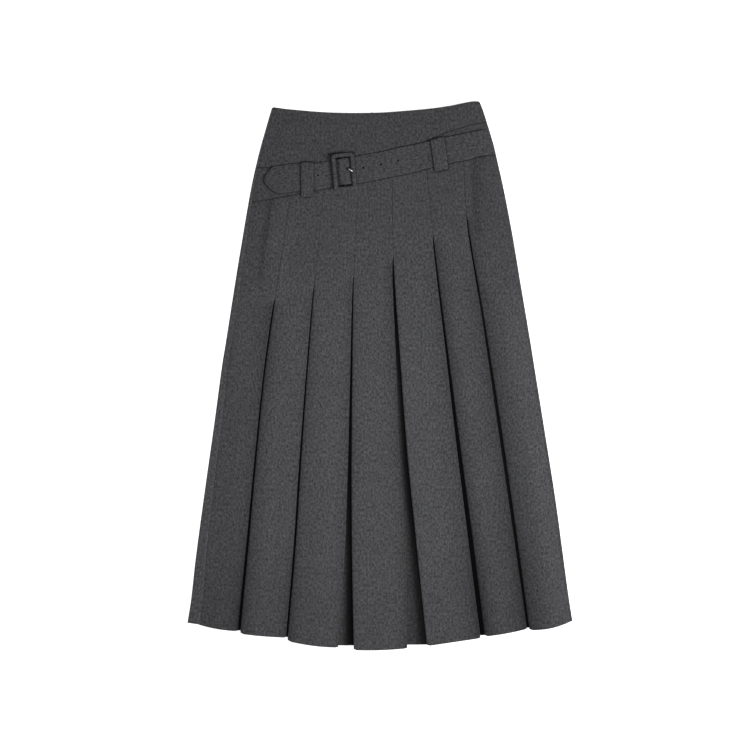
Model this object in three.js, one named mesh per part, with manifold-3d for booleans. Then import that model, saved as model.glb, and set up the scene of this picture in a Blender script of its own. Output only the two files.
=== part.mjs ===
// Pleated maxi skirt in wool flannel, laid flat on its back, with its own belt.
//
// Millimetres, +Z up. The skirt lies on z = 0 with the waist towards +Y, the hem
// towards -Y and the wearer's left side towards +X. The origin is under the middle
// of its outline.
//
// The cloth is a wall. Two back panels lie flat and turn forward round both side
// edges to the side seams. The front lies on them: a yoke, a slanting hip band and
// one wide front panel folded into six inverted pleats, sewn shut down to a
// slanting line and loose from there to the hem. A belt of the same cloth lies on
// the hip band, through two loops and a covered buckle.

import * as THREE from "three";
import Module from "manifold-3d";

// ---------------------------------------------------------------- driving sizes

const CLOTH = 1.6; // wall of one layer of cloth
const SEAM = 0.3; // distance between two pieces
const LAYER = CLOTH + 0.35; // distance between the middles of two folded layers
const BACK_MID = CLOTH / 2; // middle of the back layer, which rests on z = 0
const EDGE_MID = 3.2; // middle of the cloth at the side seams
// The width over which the front rises from a side seam, and how fast it does so there.
const RISE_LEFT = { width: 75, power: 1.7 };
const RISE_RIGHT = { width: 58, power: 2.1 };
const CENTRE_BACK_X = -14;
const ZIP = { tapeWidth: 24, tapeThick: 0.8, length: 200, start: 10 };

const STRAP = 2.2; // belt: two layers and a stiffener
const LOOP_CLOTH = 1.8;
const BUCKLE = { x: -64, y: 356.6, width: 40, height: 65, sideBar: 7, endBar: 6.5, thick: 4.5, turn: 5.4, corner: 4 };
const CENTRE_BAR = { width: 5, thick: 1.8 };
const STRAP_OVER_BAR = 4.6; // how far the strap rises over the centre bar
const PRONG_RADIUS = 1;
const HOLE_RADIUS = 1.75;

const STATIONS = 13; // sections along the pleated panel
const BACK_STATIONS = 26; // sections along the back, closer together at the hips

// ---------------------------------------------------------------- tables

// The outline: half-widths are not equal, because the skirt lies a little turned.
// wrapLeft and wrapRight are how far the back comes forward round the -X and the +X
// edge, to the side seams.
const OUTLINE = [
  { y: 479, left: -186.8, right: 174.3, wrapLeft: 2.2, wrapRight: 2.2 },
  { y: 465, left: -191.4, right: 179.8, wrapLeft: 2.2, wrapRight: 2.2 },
  { y: 439, left: -199, right: 188.1, wrapLeft: 2.3, wrapRight: 2.3 },
  { y: 404, left: -209, right: 198.5, wrapLeft: 2.5, wrapRight: 2.6 },
  { y: 369, left: -217.8, right: 206.6, wrapLeft: 3, wrapRight: 3.2 },
  { y: 334, left: -225.5, right: 214.5, wrapLeft: 3.9, wrapRight: 3.8 },
  { y: 299, left: -232, right: 221.6, wrapLeft: 5.2, wrapRight: 4 },
  { y: 237, left: -242.5, right: 233.1, wrapLeft: 7.2, wrapRight: 4.2 },
  { y: 167, left: -254, right: 244.7, wrapLeft: 9.2, wrapRight: 4.1 },
  { y: 62, left: -270.4, right: 262.4, wrapLeft: 11, wrapRight: 4 },
  { y: 17, left: -277.7, right: 269.6, wrapLeft: 11.6, wrapRight: 4 },
  { y: -77, left: -290.3, right: 284.7, wrapLeft: 12.9, wrapRight: 4.1 },
  { y: -217, left: -310, right: 306.8, wrapLeft: 15.3, wrapRight: 4.2 },
  { y: -322, left: -324, right: 321, wrapLeft: 17.8, wrapRight: 4.2 },
  { y: -392, left: -331.8, right: 330.5, wrapLeft: 19.5, wrapRight: 4.1 },
  { y: -434, left: -338.4, right: 337.2, wrapLeft: 20.8, wrapRight: 4 },
];

// The waist edge, a shallow hollow curve, and the two seams of the hip band.
const WAIST = [
  { x: -190, y: 470.4 },
  { x: -158, y: 466 },
  { x: -88, y: 460.5 },
  { x: -10, y: 460 },
  { x: 38, y: 463 },
  { x: 87, y: 467.4 },
  { x: 122, y: 472.4 },
  { x: 160, y: 480 },
  { x: 174, y: 480.3 },
];
const YOKE_SEAM = [
  { x: -218, y: 364.5 },
  { x: -192, y: 364.6 },
  { x: -158, y: 367 },
  { x: -116, y: 370 },
  { x: -88, y: 373.2 },
  { x: -40, y: 382.4 },
  { x: 12, y: 392.6 },
  { x: 58, y: 403 },
  { x: 87, y: 413.8 },
  { x: 112, y: 425.4 },
  { x: 134, y: 431.8 },
  { x: 157, y: 439 },
  { x: 188, y: 445.4 },
];
const PLEAT_SEAM = [
  { x: -226, y: 304 },
  { x: -202, y: 307.4 },
  { x: -169, y: 313 },
  { x: -141, y: 318.4 },
  { x: -116, y: 323.8 },
  { x: -62, y: 333.2 },
  { x: -1, y: 344.6 },
  { x: 60, y: 357.2 },
  { x: 118, y: 370.4 },
  { x: 168, y: 381.6 },
  { x: 202, y: 389 },
];
const BACK_HEM = [
  { x: -339, y: -432.2 },
  { x: -314, y: -435.6 },
  { x: -250, y: -443 },
  { x: -164, y: -454 },
  { x: -60, y: -467.5 },
  { x: 0, y: -470 },
  { x: 64, y: -467 },
  { x: 179, y: -451 },
  { x: 258, y: -437.5 },
  { x: 338, y: -429.4 },
];

// Height of the middle of the front cloth, away from its side edges.
const LOFT = [
  { y: 480, z: 5.6 },
  { y: 440, z: 6 },
  { y: 390, z: 7 },
  { y: 340, z: 7.9 },
  { y: 250, z: 8.4 },
  { y: 100, z: 9.2 },
  { y: -100, z: 10.1 },
  { y: -300, z: 10.8 },
  { y: -480, z: 11.4 },
];

// The six pleats, from -X to +X. The path is that of the fold edge on the +X side
// of each pleat: at the seam, at the point where the sewing ends, and at 1/4, 1/2,
// 3/4 and the whole of the way from there to the hem. gap is the opening between
// the two fold edges, at 1/2, 3/4 and the hem. depth is how far each side folds
// under, at the seam and at the hem. lift raises the +X fold edge and drop lowers
// the other, at the hem. floor is the height of the underlay beside that other
// edge, and hem is where the underlay ends.
const PLEATS = [
  { seamX: -158, tipX: -184.3, tipY: 136, x1: -203.9, x2: -218.3, x3: -231.2, hemX: -245, gap2: 2.9, gap3: 4, gapHem: 4.8, depthTop: 19, depthHem: 30, lift: 3.4, drop: 2.6, floor: 3.2, hem: -445.5 },
  { seamX: -99.5, tipX: -115.4, tipY: 162, x1: -127.9, x2: -138.8, x3: -148.8, hemX: -162.3, gap2: 3.2, gap3: 3.6, gapHem: 3.1, depthTop: 21, depthHem: 32, lift: 0.4, drop: 1.2, floor: 3.2, hem: -457 },
  { seamX: -39, tipX: -46.8, tipY: 176, x1: -49.3, x2: -50.6, x3: -50, hemX: -47, gap2: 6, gap3: 12.5, gapHem: 27, depthTop: 21, depthHem: 30, lift: 4.2, drop: 1, floor: 5.7, hem: -471.6 },
  { seamX: 20, tipX: 22.4, tipY: 209, x1: 33.8, x2: 46.4, x3: 63.4, hemX: 81, gap2: 13, gap3: 19, gapHem: 34, depthTop: 21, depthHem: 28, lift: 4.2, drop: 1, floor: 5.7, hem: -470.4 },
  { seamX: 80.5, tipX: 92, tipY: 246, x1: 114.4, x2: 137, x3: 160.4, hemX: 182.5, gap2: 6, gap3: 7.8, gapHem: 7.8, depthTop: 21, depthHem: 30, lift: 3.4, drop: 1.8, floor: 3.2, hem: -454 },
  { seamX: 145.5, tipX: 150.4, tipY: 285, x1: 180.8, x2: 209.4, x3: 235.6, hemX: 260.4, gap2: 5.6, gap3: 5.6, gapHem: 4.4, depthTop: 14, depthHem: 28, lift: 0, drop: 1.2, floor: 3.2, hem: -440.5 },
];

// The seven panels between them: where each ends at the hem, at its -X edge, its
// middle and its +X edge. Each hem bows down a little. crown is how much the panel
// rounds up between its edges at the hem.
const PANELS = [
  { left: -436, middle: -443.1, right: -446.5, crown: 1.4 },
  { left: -451, middle: -455.3, right: -457.6, crown: 0.6 },
  { left: -464, middle: -471.8, right: -475.2, crown: 2 },
  { left: -479.2, middle: -479.5, right: -476.6, crown: 0.8 },
  { left: -472, middle: -465.6, right: -459, crown: 0.6 },
  { left: -455.4, middle: -450.6, right: -443, crown: 0.8 },
  { left: -444.8, middle: -441.6, right: -430.4, crown: 2 },
];

// Shallow hollows pressed into the hips beside the belt.
const HIP_HOLLOWS = [
  { x0: -193, y0: 299, x1: -208, y1: 110, depth: 0.6, width: 11 },
  { x0: 160, y0: 376, x1: 175, y1: 270, depth: 0.45, width: 8 },
];

// Belt edges along its length, from the blunt point to the +X side seam.
const STRAP_EDGES = [
  { x: -203.6, top: 346.5, bottom: 338.5 },
  { x: -197, top: 357, bottom: 330.6 },
  { x: -188.5, top: 365.8, bottom: 323.4 },
  { x: -178, top: 367.4, bottom: 319.2 },
  { x: -153, top: 371, bottom: 321.8 },
  { x: -116, top: 372, bottom: 324.8 },
  { x: -92, top: 375, bottom: 328.2 },
  { x: -78, top: 378, bottom: 332.4 }, // drawn in to pass the buckle's window
  { x: -50, top: 382.4, bottom: 335.6 },
  { x: -34, top: 385.8, bottom: 337.6 },
  { x: -16, top: 388.8, bottom: 340.8 },
  { x: 8, top: 393.2, bottom: 345.6 },
  { x: 34, top: 400, bottom: 350.8 },
  { x: 60, top: 404.8, bottom: 356.8 },
  { x: 92, top: 412.6, bottom: 365 },
  { x: 118, top: 418.4, bottom: 371.6 },
  { x: 148, top: 424.6, bottom: 376.8 },
  { x: 166, top: 428.4, bottom: 382.4 },
  { x: 183, top: 431.2, bottom: 386 },
  { x: 202, top: 433.8, bottom: 387 },
];
const STRAP_HOLES = [
  { x: -109.5, y: 351, radius: HOLE_RADIUS },
  { x: -57.6, y: 362.2, radius: 2.5 }, // the prong comes up through this one
  { x: -30, y: 364, radius: HOLE_RADIUS },
  { x: 1, y: 370, radius: HOLE_RADIUS },
  { x: 30.5, y: 376.6, radius: HOLE_RADIUS },
];

// Belt loops: the four corners of each, seen from above.
const LOOPS = [
  { name: "belt_loop_right_hip", topLeftX: -138.6, topRightX: -117.5, bottomLeftX: -138.6, bottomRightX: -117.5, footLeftY: 313, footRightY: 314.5 },
  { name: "belt_loop_left_hip", topLeftX: 87.5, topRightX: 110.5, bottomLeftX: 95.5, bottomRightX: 118, footLeftY: 357.8, footRightY: 362.6 },
];

// The prong of the buckle: its middle line, from inside the hole to its tip.
const PRONG = [
  { x: -58.6, y: 362.9, z: 14.3 },
  { x: -57.8, y: 362.4, z: 15.4 },
  { x: -55.4, y: 361.2, z: 17.4 },
  { x: -51.5, y: 359, z: 18.4 },
  { x: -48, y: 356.2, z: 18.1 },
  { x: -46.2, y: 352.6, z: 17.3 },
];

// ---------------------------------------------------------------- curves

// Smooth value of one column of a table at a value of another column.
function read(table, key, at, column) {
  const rows = table[0][key] <= table[table.length - 1][key] ? table : [...table].reverse();
  const n = rows.length;
  const u = Math.min(Math.max(at, rows[0][key]), rows[n - 1][key]);
  let i = 0;
  while (i < n - 2 && u > rows[i + 1][key]) i++;
  const slope = (j) => {
    const a = rows[Math.max(j - 1, 0)], b = rows[Math.min(j + 1, n - 1)];
    return (b[column] - a[column]) / (b[key] - a[key]);
  };
  const a = rows[i], b = rows[i + 1], h = b[key] - a[key], t = (u - a[key]) / h;
  const t2 = t * t, t3 = t2 * t;
  return (2 * t3 - 3 * t2 + 1) * a[column] + (t3 - 2 * t2 + t) * h * slope(i) +
    (3 * t2 - 2 * t3) * b[column] + (t3 - t2) * h * slope(i + 1);
}
const mix = (a, b, t) => a + (b - a) * t;
const clamp01 = (t) => Math.min(Math.max(t, 0), 1);

const leftEdge = (y) => read(OUTLINE, "y", y, "left");
const rightEdge = (y) => read(OUTLINE, "y", y, "right");
const waistY = (x) => read(WAIST, "x", x, "y");
const yokeSeamY = (x) => read(YOKE_SEAM, "x", x, "y");
const pleatSeamY = (x) => read(PLEAT_SEAM, "x", x, "y");
const backHemY = (x) => read(BACK_HEM, "x", x, "y");

// The front starts and ends at the side seams.
const wrapLeft = (y) => read(OUTLINE, "y", y, "wrapLeft");
const wrapRight = (y) => read(OUTLINE, "y", y, "wrapRight");
const frontLeft = (y) => leftEdge(y) + wrapLeft(y) + SEAM;
const frontRight = (y) => rightEdge(y) - wrapRight(y) - SEAM;

// Middle of the front cloth where it lies smooth.
function frontZ(x, y) {
  const rise = Math.min(
    1 - Math.pow(1 - clamp01((x - frontLeft(y)) / RISE_LEFT.width), RISE_LEFT.power),
    1 - Math.pow(1 - clamp01((frontRight(y) - x) / RISE_RIGHT.width), RISE_RIGHT.power),
  );
  let z = mix(EDGE_MID, read(LOFT, "y", y, "z"), rise);
  for (const f of HIP_HOLLOWS) {
    const t = clamp01((f.y0 - y) / (f.y0 - f.y1));
    const across = (x - mix(f.x0, f.x1, t)) / f.width;
    const past = Math.max(y - f.y0, f.y1 - y, 0) / 40;
    z -= f.depth * Math.exp(-across * across - past * past) * Math.sin(Math.PI * mix(0.25, 1, t));
  }
  return z;
}

// ---------------------------------------------------------------- solids

// A closed wall round a grid of middle points. rows[j][i] is [x, y, z], and the
// wall is offset to both sides in the upright plane along (dirX, dirY).
function wall(rows, thickness, dirX = 1, dirY = 0) {
  const half = thickness / 2, count = rows[0].length, last = rows.length - 1;
  const upper = [], lower = [];
  for (const row of rows) {
    const s = row.map((p) => [p[0] * dirX + p[1] * dirY, p[2]]);
    const normals = [];
    for (let i = 0; i + 1 < count; i++) {
      const dx = s[i + 1][0] - s[i][0], dz = s[i + 1][1] - s[i][1], l = Math.hypot(dx, dz);
      normals.push([-dz / l, dx / l]);
    }
    const up = [], down = [];
    for (let i = 0; i < count; i++) {
      const a = normals[Math.max(i - 1, 0)], b = normals[Math.min(i, count - 2)];
      const k = half / Math.max(1 + a[0] * b[0] + a[1] * b[1], 0.6);
      const ox = (a[0] + b[0]) * k, oz = (a[1] + b[1]) * k, p = row[i];
      up.push([p[0] + ox * dirX, p[1] + ox * dirY, p[2] + oz]);
      down.push([p[0] - ox * dirX, p[1] - ox * dirY, p[2] - oz]);
    }
    upper.push(up);
    lower.push(down);
  }
  const faces = [];
  const quad = (a, b, c, d) => faces.push(a, b, c, a, c, d);
  for (let j = 0; j < last; j++)
    for (let i = 0; i + 1 < count; i++) {
      quad(upper[j][i], upper[j + 1][i], upper[j + 1][i + 1], upper[j][i + 1]);
      quad(lower[j][i], lower[j][i + 1], lower[j + 1][i + 1], lower[j + 1][i]);
    }
  for (let i = 0; i + 1 < count; i++) {
    quad(upper[0][i], upper[0][i + 1], lower[0][i + 1], lower[0][i]);
    quad(upper[last][i + 1], upper[last][i], lower[last][i], lower[last][i + 1]);
  }
  for (let j = 0; j < last; j++) {
    quad(upper[j + 1][0], upper[j][0], lower[j][0], lower[j + 1][0]);
    quad(upper[j][count - 1], upper[j + 1][count - 1], lower[j + 1][count - 1], lower[j][count - 1]);
  }
  return closed(faces);
}

// Triangles with merged points, facing out.
function closed(faces) {
  const keys = new Map(), positions = [], index = [];
  for (const p of faces) {
    const key = p.map((v) => Math.round(v * 1e4)).join(",");
    if (!keys.has(key)) {
      keys.set(key, positions.length / 3);
      positions.push(...p);
    }
    index.push(keys.get(key));
  }
  const geometry = new THREE.BufferGeometry();
  geometry.setAttribute("position", new THREE.Float32BufferAttribute(positions, 3));
  const a = new THREE.Vector3(), b = new THREE.Vector3(), c = new THREE.Vector3();
  let volume = 0;
  for (let i = 0; i < index.length; i += 3) {
    a.fromArray(positions, index[i] * 3);
    b.fromArray(positions, index[i + 1] * 3);
    c.fromArray(positions, index[i + 2] * 3);
    volume += a.dot(b.cross(c));
  }
  if (volume < 0)
    for (let i = 0; i < index.length; i += 3) [index[i + 1], index[i + 2]] = [index[i + 2], index[i + 1]];
  geometry.setIndex(index);
  return geometry;
}

const wasm = await Module();
wasm.setup();

// To and from the library that cuts and joins.
function toSolid(geometry) {
  const flat = geometry.index ? geometry.toNonIndexed() : geometry;
  const p = flat.getAttribute("position");
  const faces = [];
  for (let i = 0; i < p.count; i++) faces.push([p.getX(i), p.getY(i), p.getZ(i)]);
  const merged = closed(faces);
  return new wasm.Manifold(new wasm.Mesh({
    numProp: 3,
    vertProperties: new Float32Array(merged.getAttribute("position").array),
    triVerts: new Uint32Array(merged.index.array),
  }));
}
function toGeometry(solid) {
  const mesh = solid.getMesh();
  const geometry = new THREE.BufferGeometry();
  geometry.setAttribute("position", new THREE.Float32BufferAttribute(Array.from(mesh.vertProperties), 3));
  geometry.setIndex(Array.from(mesh.triVerts));
  return geometry;
}

// ---------------------------------------------------------------- materials

const flannel = (roughness = 0.95) => new THREE.MeshStandardMaterial({ color: 0x474749, roughness, metalness: 0 });
const nickel = () => new THREE.MeshStandardMaterial({ color: 0xc9c8c4, roughness: 0.28, metalness: 1 });
const blackZip = () => new THREE.MeshStandardMaterial({ color: 0x1d1d1f, roughness: 0.6, metalness: 0 });

const skirt = new THREE.Group();
skirt.name = "maxi_skirt";
function add(name, geometry, material) {
  geometry.computeVertexNormals();
  const mesh = new THREE.Mesh(geometry, material);
  mesh.name = name;
  skirt.add(mesh);
  return mesh;
}

// ---------------------------------------------------------------- back panels

// One section of a back panel: flat from the centre-back seam to the side edge,
// round it, and forward to the side seam.
function backSection(side, t) {
  const top = (x) => waistY(x) - 1.5;
  const at = (xOf) => {
    let x = xOf(0), y = 0;
    for (let k = 0; k < 6; k++) {
      y = mix(top(x), backHemY(x), t);
      x = xOf(y);
    }
    return [x, y];
  };
  const seamX = CENTRE_BACK_X + side * SEAM / 2;
  const edge = side < 0 ? leftEdge : rightEdge;
  const wrap = side < 0 ? wrapLeft : wrapRight;
  const points = [];
  for (const s of [0, 0.25, 0.5, 0.75]) {
    const [x, y] = at((v) => mix(seamX, edge(v) - side * 2.4, s));
    points.push([x, y, BACK_MID]);
  }
  for (const turn of [
    { inset: () => CLOTH / 2, z: BACK_MID },
    { inset: () => CLOTH / 2, z: EDGE_MID },
    // a little more room for the seam where the outline curves most
    { inset: (v) => wrap(v) - 0.5 * clamp01((-270 - v) / 70) - 0.5 * clamp01((v - 450) / 20), z: EDGE_MID },
  ]) {
    const [x, y] = at((v) => edge(v) - side * turn.inset(v));
    points.push([x, y, turn.z]);
  }
  return points;
}
for (const [name, side] of [["back_right", -1], ["back_left", 1]]) {
  const rows = [];
  for (let j = 0; j <= BACK_STATIONS; j++) rows.push(backSection(side, Math.pow(j / BACK_STATIONS, 1.5)));
  add(name, wall(rows, CLOTH), flannel());
}

// ---------------------------------------------------------------- yoke, hip band

// A smooth front piece between an upper and a lower edge.
function frontPiece(upperY, lowerY, acrossCount, downCount) {
  const rows = [];
  for (let j = 0; j <= downCount; j++) {
    const row = [];
    for (let i = 0; i <= acrossCount; i++) {
      const s = i / acrossCount;
      let x = mix(-200, 190, s), y = 0;
      for (let k = 0; k < 8; k++) {
        y = mix(upperY(x), lowerY(x), j / downCount);
        // closer together near the side seams, where the cloth curves most
        x = mix(frontLeft(y), frontRight(y), 0.5 - 0.5 * Math.cos(Math.PI * mix(s, 0.5 - 0.5 * Math.cos(Math.PI * s), -0.35)));
      }
      row.push([x, y, frontZ(x, y)]);
    }
    rows.push(row);
  }
  return rows;
}
add("front_yoke", wall(frontPiece(waistY, (x) => yokeSeamY(x) + SEAM / 2, 18, 4), CLOTH), flannel());
add("front_hip_band", wall(frontPiece((x) => yokeSeamY(x) - SEAM / 2, (x) => pleatSeamY(x) + SEAM / 2, 18, 2), CLOTH), flannel());

// ---------------------------------------------------------------- pleated front

const openFraction = (p, y) => clamp01((p.tipY - y) / (p.tipY - p.hem));

// Fold edge on the +X side of a pleat, and the opening beside it.
function foldX(p, y) {
  const length = p.tipY - p.hem;
  return read([
    { y: pleatSeamY(p.seamX), x: p.seamX },
    { y: p.tipY, x: p.tipX },
    { y: p.tipY - length * 0.25, x: p.x1 },
    { y: p.tipY - length * 0.5, x: p.x2 },
    { y: p.tipY - length * 0.75, x: p.x3 },
    { y: p.hem, x: p.hemX },
  ], "y", y, "x");
}
function gapAt(p, y) {
  const f = openFraction(p, y);
  return Math.max(SEAM, read([
    { f: 0, w: SEAM }, { f: 0.25, w: mix(SEAM, p.gap2, 0.45) }, { f: 0.5, w: p.gap2 }, { f: 0.75, w: p.gap3 }, { f: 1, w: p.gapHem },
  ], "f", f, "w"));
}
function depthAt(p, y) {
  return mix(p.depthTop, p.depthHem, clamp01((pleatSeamY(p.seamX) - y) / (pleatSeamY(p.seamX) - p.hem)));
}

// Middle of the underlay, which lies just above the back and the zip's tape.
function underlayZ(x, y) {
  const beside = clamp01((50 - Math.abs(x - CENTRE_BACK_X)) / 24);
  const along = clamp01((y - (waistY(CENTRE_BACK_X) - ZIP.length - 30)) / 25);
  return CLOTH + SEAM + CLOTH / 2 + 0.05 + (ZIP.tapeThick + SEAM) * beside * along;
}

// The point of a line down the cloth, a fraction t of the way from the seam to its
// own end at the hem.
function down(xOf, hemY, t) {
  let x = xOf(mix(330, hemY, t)), y = 0;
  for (let k = 0; k < 8; k++) {
    y = mix(pleatSeamY(x) - SEAM / 2, hemY, t);
    x = xOf(y);
  }
  return [x, y];
}

// The hem of a panel, a fraction s of the way across it, and at x.
const hemAt = (hem, s) => mix(mix(hem.left, hem.middle, s), mix(hem.middle, hem.right, s), s) + (hem.middle - (hem.left + hem.right) / 2) * 2 * s * (1 - s);
function panelHem(k, x) {
  const before = PLEATS[k - 1], after = PLEATS[k], hem = PANELS[k], y = hem.middle;
  const a = before ? foldX(before, y) : frontLeft(y), b = after ? foldX(after, y) - gapAt(after, y) : frontRight(y);
  return hemAt(hem, clamp01((x - a) / (b - a)));
}

// One section of the folded panel, from the -X side seam to the +X one.
function pleatedSection(t) {
  const half = CLOTH / 2, points = [];
  const panels = PANELS.length;
  for (let k = 0; k < panels; k++) {
    const before = PLEATS[k - 1], after = PLEATS[k], hem = PANELS[k];
    const startX = before ? (y) => foldX(before, y) + half : frontLeft;
    const endX = after ? (y) => foldX(after, y) - gapAt(after, y) - half : frontRight;
    const inner = before && after ? [0, 0.14, 0.38, 0.62, 0.86, 1] : before ? [0, 0.14, 0.34, 0.56, 0.76, 0.9, 1] : [0, 0.1, 0.24, 0.44, 0.66, 0.86, 1];
    // the panel's face
    for (const s of inner) {
      const [x, y] = down((v) => mix(startX(v), endX(v), s), hemAt(hem, s), t);
      const lift = before ? before.lift * openFraction(before, y) * Math.pow(1 - s, 2.5) : 0;
      const drop = after ? after.drop * openFraction(after, y) * Math.pow(s, 3) : 0;
      const crown = hem.crown * openFraction(before ?? after, y) * Math.pow(Math.sin(Math.PI * s), 2);
      points.push([x, y, frontZ(x, y) + lift - drop + crown]);
    }
    if (!after) break;
    // folded under, back out as the underlay, and up to the next panel
    const next = PANELS[k + 1];
    const inLeft = (y) => foldX(after, y) - gapAt(after, y) - depthAt(after, y);
    const inRight = (y) => foldX(after, y) + depthAt(after, y);
    const nextX = (y) => foldX(after, y) + half;
    // the inner folds end above the hems of the panels that hide them
    const hemLeft = Math.max(after.hem, panelHem(k, inLeft(after.hem)) + 1.4);
    const hemRight = Math.max(after.hem, panelHem(k + 1, inRight(after.hem)) + 1.4);
    const faceZ = points[points.length - 1][2];
    const open = (y) => openFraction(after, y);
    const push = (xOf, hemY, zOf) => {
      const [x, y] = down(xOf, hemY, t);
      points.push([x, y, zOf(x, y)]);
    };
    push(endX, hem.right + 1, () => faceZ - LAYER);
    push(inLeft, hemLeft, (x, y) => underlayZ(x, y) + LAYER + (after.floor - 3.2) * 0.5 * open(y));
    push(inLeft, hemLeft, (x, y) => underlayZ(x, y) + (after.floor - 3.2) * 0.5 * open(y));
    push(endX, after.hem, (x, y) => mix(underlayZ(x, y), after.floor, open(y)));
    push((y) => foldX(after, y) - gapAt(after, y) * 0.45, after.hem, (x, y) => mix(underlayZ(x, y), mix(3, after.floor, 0.72), open(y)));
    push(nextX, after.hem, (x, y) => mix(underlayZ(x, y), 3, open(y)));
    push(inRight, hemRight, (x, y) => underlayZ(x, y));
    push(inRight, hemRight, (x, y) => underlayZ(x, y) + LAYER);
    const [nx, ny] = down(nextX, next.left, t);
    const nextZ = frontZ(nx, ny) + after.lift * open(ny);
    push(nextX, next.left + 1, () => nextZ - LAYER);
  }
  return points;
}
const sections = [];
for (let j = 0; j < STATIONS; j++) sections.push(pleatedSection(j / (STATIONS - 1)));
add("front_pleated_panel", wall(sections, CLOTH), flannel());

// ---------------------------------------------------------------- belt strap

// Top of the cloth that the belt lies on.
const topZ = (x, y) => frontZ(x, y) + CLOTH / 2;

// How far the strap is pushed up where it runs over the buckle's centre bar.
function strapRise(x, y) {
  const a = THREE.MathUtils.degToRad(BUCKLE.turn);
  const across = (x - BUCKLE.x) * Math.cos(a) + (y - BUCKLE.y) * Math.sin(a);
  const t = clamp01((Math.abs(across) - 5.5) / 6.8);
  return STRAP_OVER_BAR * (1 - t * t * (3 - 2 * t));
}
const strapMid = (x, y) => topZ(x, y) + SEAM + STRAP / 2 + strapRise(x, y);
const strapTopY = (x) => read(STRAP_EDGES, "x", x, "top");
const strapBottomY = (x) => read(STRAP_EDGES, "x", x, "bottom");

const strapStations = [-203.6, -197, -188.5, -178, -153, -130, -108, -88, -77, -73, -69.5, -66.5, -64, -61.5, -58.5, -55, -51, -40, -16, 14, 44, 76, 105, 130, 150, 166, 180, 190];
const strapRows = [];
for (let j = 0; j <= 4; j++) {
  const v = j / 4, row = [];
  for (const station of strapStations) {
    const turned = Math.abs(station - BUCKLE.x) < 26; // stations near the buckle run along its bars
    let x = station;
    for (let k = 0; k < 6; k++) {
      const y = mix(strapTopY(x), strapBottomY(x), v);
      if (turned) x = station - (y - BUCKLE.y) * Math.tan(THREE.MathUtils.degToRad(BUCKLE.turn));
      else if (station === 190) x = frontRight(y) - 0.2;
    }
    const y = mix(strapTopY(x), strapBottomY(x), v);
    row.push([x, y, strapMid(x, y)]);
  }
  strapRows.push(row);
}
let strap = toSolid(wall(strapRows, STRAP));
for (const hole of STRAP_HOLES) {
  const drill = new THREE.CylinderGeometry(hole.radius, hole.radius, 14, 16);
  drill.rotateX(Math.PI / 2);
  drill.translate(hole.x, hole.y, strapMid(hole.x, hole.y));
  strap = strap.subtract(toSolid(drill));
}
add("belt_strap", toGeometry(strap), flannel(0.93));

// ---------------------------------------------------------------- buckle

function roundedRectangle(shape, width, height, radius) {
  const x = -width / 2, y = -height / 2;
  shape.moveTo(x + radius, y);
  shape.lineTo(x + width - radius, y);
  shape.absarc(x + width - radius, y + radius, radius, -Math.PI / 2, 0, false);
  shape.lineTo(x + width, y + height - radius);
  shape.absarc(x + width - radius, y + height - radius, radius, 0, Math.PI / 2, false);
  shape.lineTo(x + radius, y + height);
  shape.absarc(x + radius, y + height - radius, radius, Math.PI / 2, Math.PI, false);
  shape.lineTo(x, y + radius);
  shape.absarc(x + radius, y + radius, radius, Math.PI, Math.PI * 1.5, false);
  return shape;
}

// Highest cloth under the frame sets the height of the buckle.
const buckleTurn = THREE.MathUtils.degToRad(BUCKLE.turn);
const buckleUnder = Math.max(...[-17, 17].map((u) => strapMid(BUCKLE.x + u, BUCKLE.y - 27))) + STRAP / 2 + SEAM + 0.1;
const frameShape = roundedRectangle(new THREE.Shape(), BUCKLE.width, BUCKLE.height, BUCKLE.corner);
frameShape.holes.push(roundedRectangle(new THREE.Path(), BUCKLE.width - 2 * BUCKLE.sideBar, BUCKLE.height - 2 * BUCKLE.endBar, 1.5));
const bevel = 0.9;
const frameGeometry = new THREE.ExtrudeGeometry(frameShape, { depth: BUCKLE.thick - 2 * bevel, bevelEnabled: true, bevelThickness: bevel, bevelSize: bevel, bevelOffset: -bevel, bevelSegments: 1, curveSegments: 3 });
frameGeometry.deleteAttribute("normal");
frameGeometry.deleteAttribute("uv");
frameGeometry.translate(0, 0, bevel);
const barTop = 0.3; // the centre bar reaches this far up into the frame
const barGeometry = new THREE.BoxGeometry(CENTRE_BAR.width, BUCKLE.height - BUCKLE.endBar - 1, CENTRE_BAR.thick);
barGeometry.translate(0, 0, barTop - CENTRE_BAR.thick / 2);
const buckleSolid = toSolid(frameGeometry).add(toSolid(barGeometry));
const buckleGeometry = toGeometry(buckleSolid);
buckleGeometry.rotateZ(buckleTurn);
buckleGeometry.translate(BUCKLE.x, BUCKLE.y, buckleUnder);
add("buckle_frame", buckleGeometry, flannel(0.93));

// The short tab that holds the centre bar to the hip band, hidden by the strap.
const tabRows = [];
for (const v of [14, 0, -14]) {
  const row = [];
  for (const u of [-6, -2, 2, 5]) {
    const x = BUCKLE.x + u * Math.cos(buckleTurn) - v * Math.sin(buckleTurn);
    const y = BUCKLE.y + u * Math.sin(buckleTurn) + v * Math.cos(buckleTurn);
    row.push([x, y, topZ(x, y) + SEAM + 0.4]);
  }
  tabRows.push(row);
}
add("buckle_tab", wall(tabRows, 0.8), flannel());

// The prong, a bent pin.
const prongPath = new THREE.CatmullRomCurve3(PRONG.map((p) => new THREE.Vector3(p.x, p.y, p.z)));
const prongSection = new THREE.Shape();
for (let i = 0; i < 10; i++) {
  const a = (i / 10) * Math.PI * 2, x = Math.cos(a) * PRONG_RADIUS, y = Math.sin(a) * PRONG_RADIUS;
  if (i) prongSection.lineTo(x, y);
  else prongSection.moveTo(x, y);
}
prongSection.closePath();
const prongGeometry = new THREE.ExtrudeGeometry(prongSection, { extrudePath: prongPath, steps: 14, bevelEnabled: false });
add("buckle_prong", prongGeometry, nickel());

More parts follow.
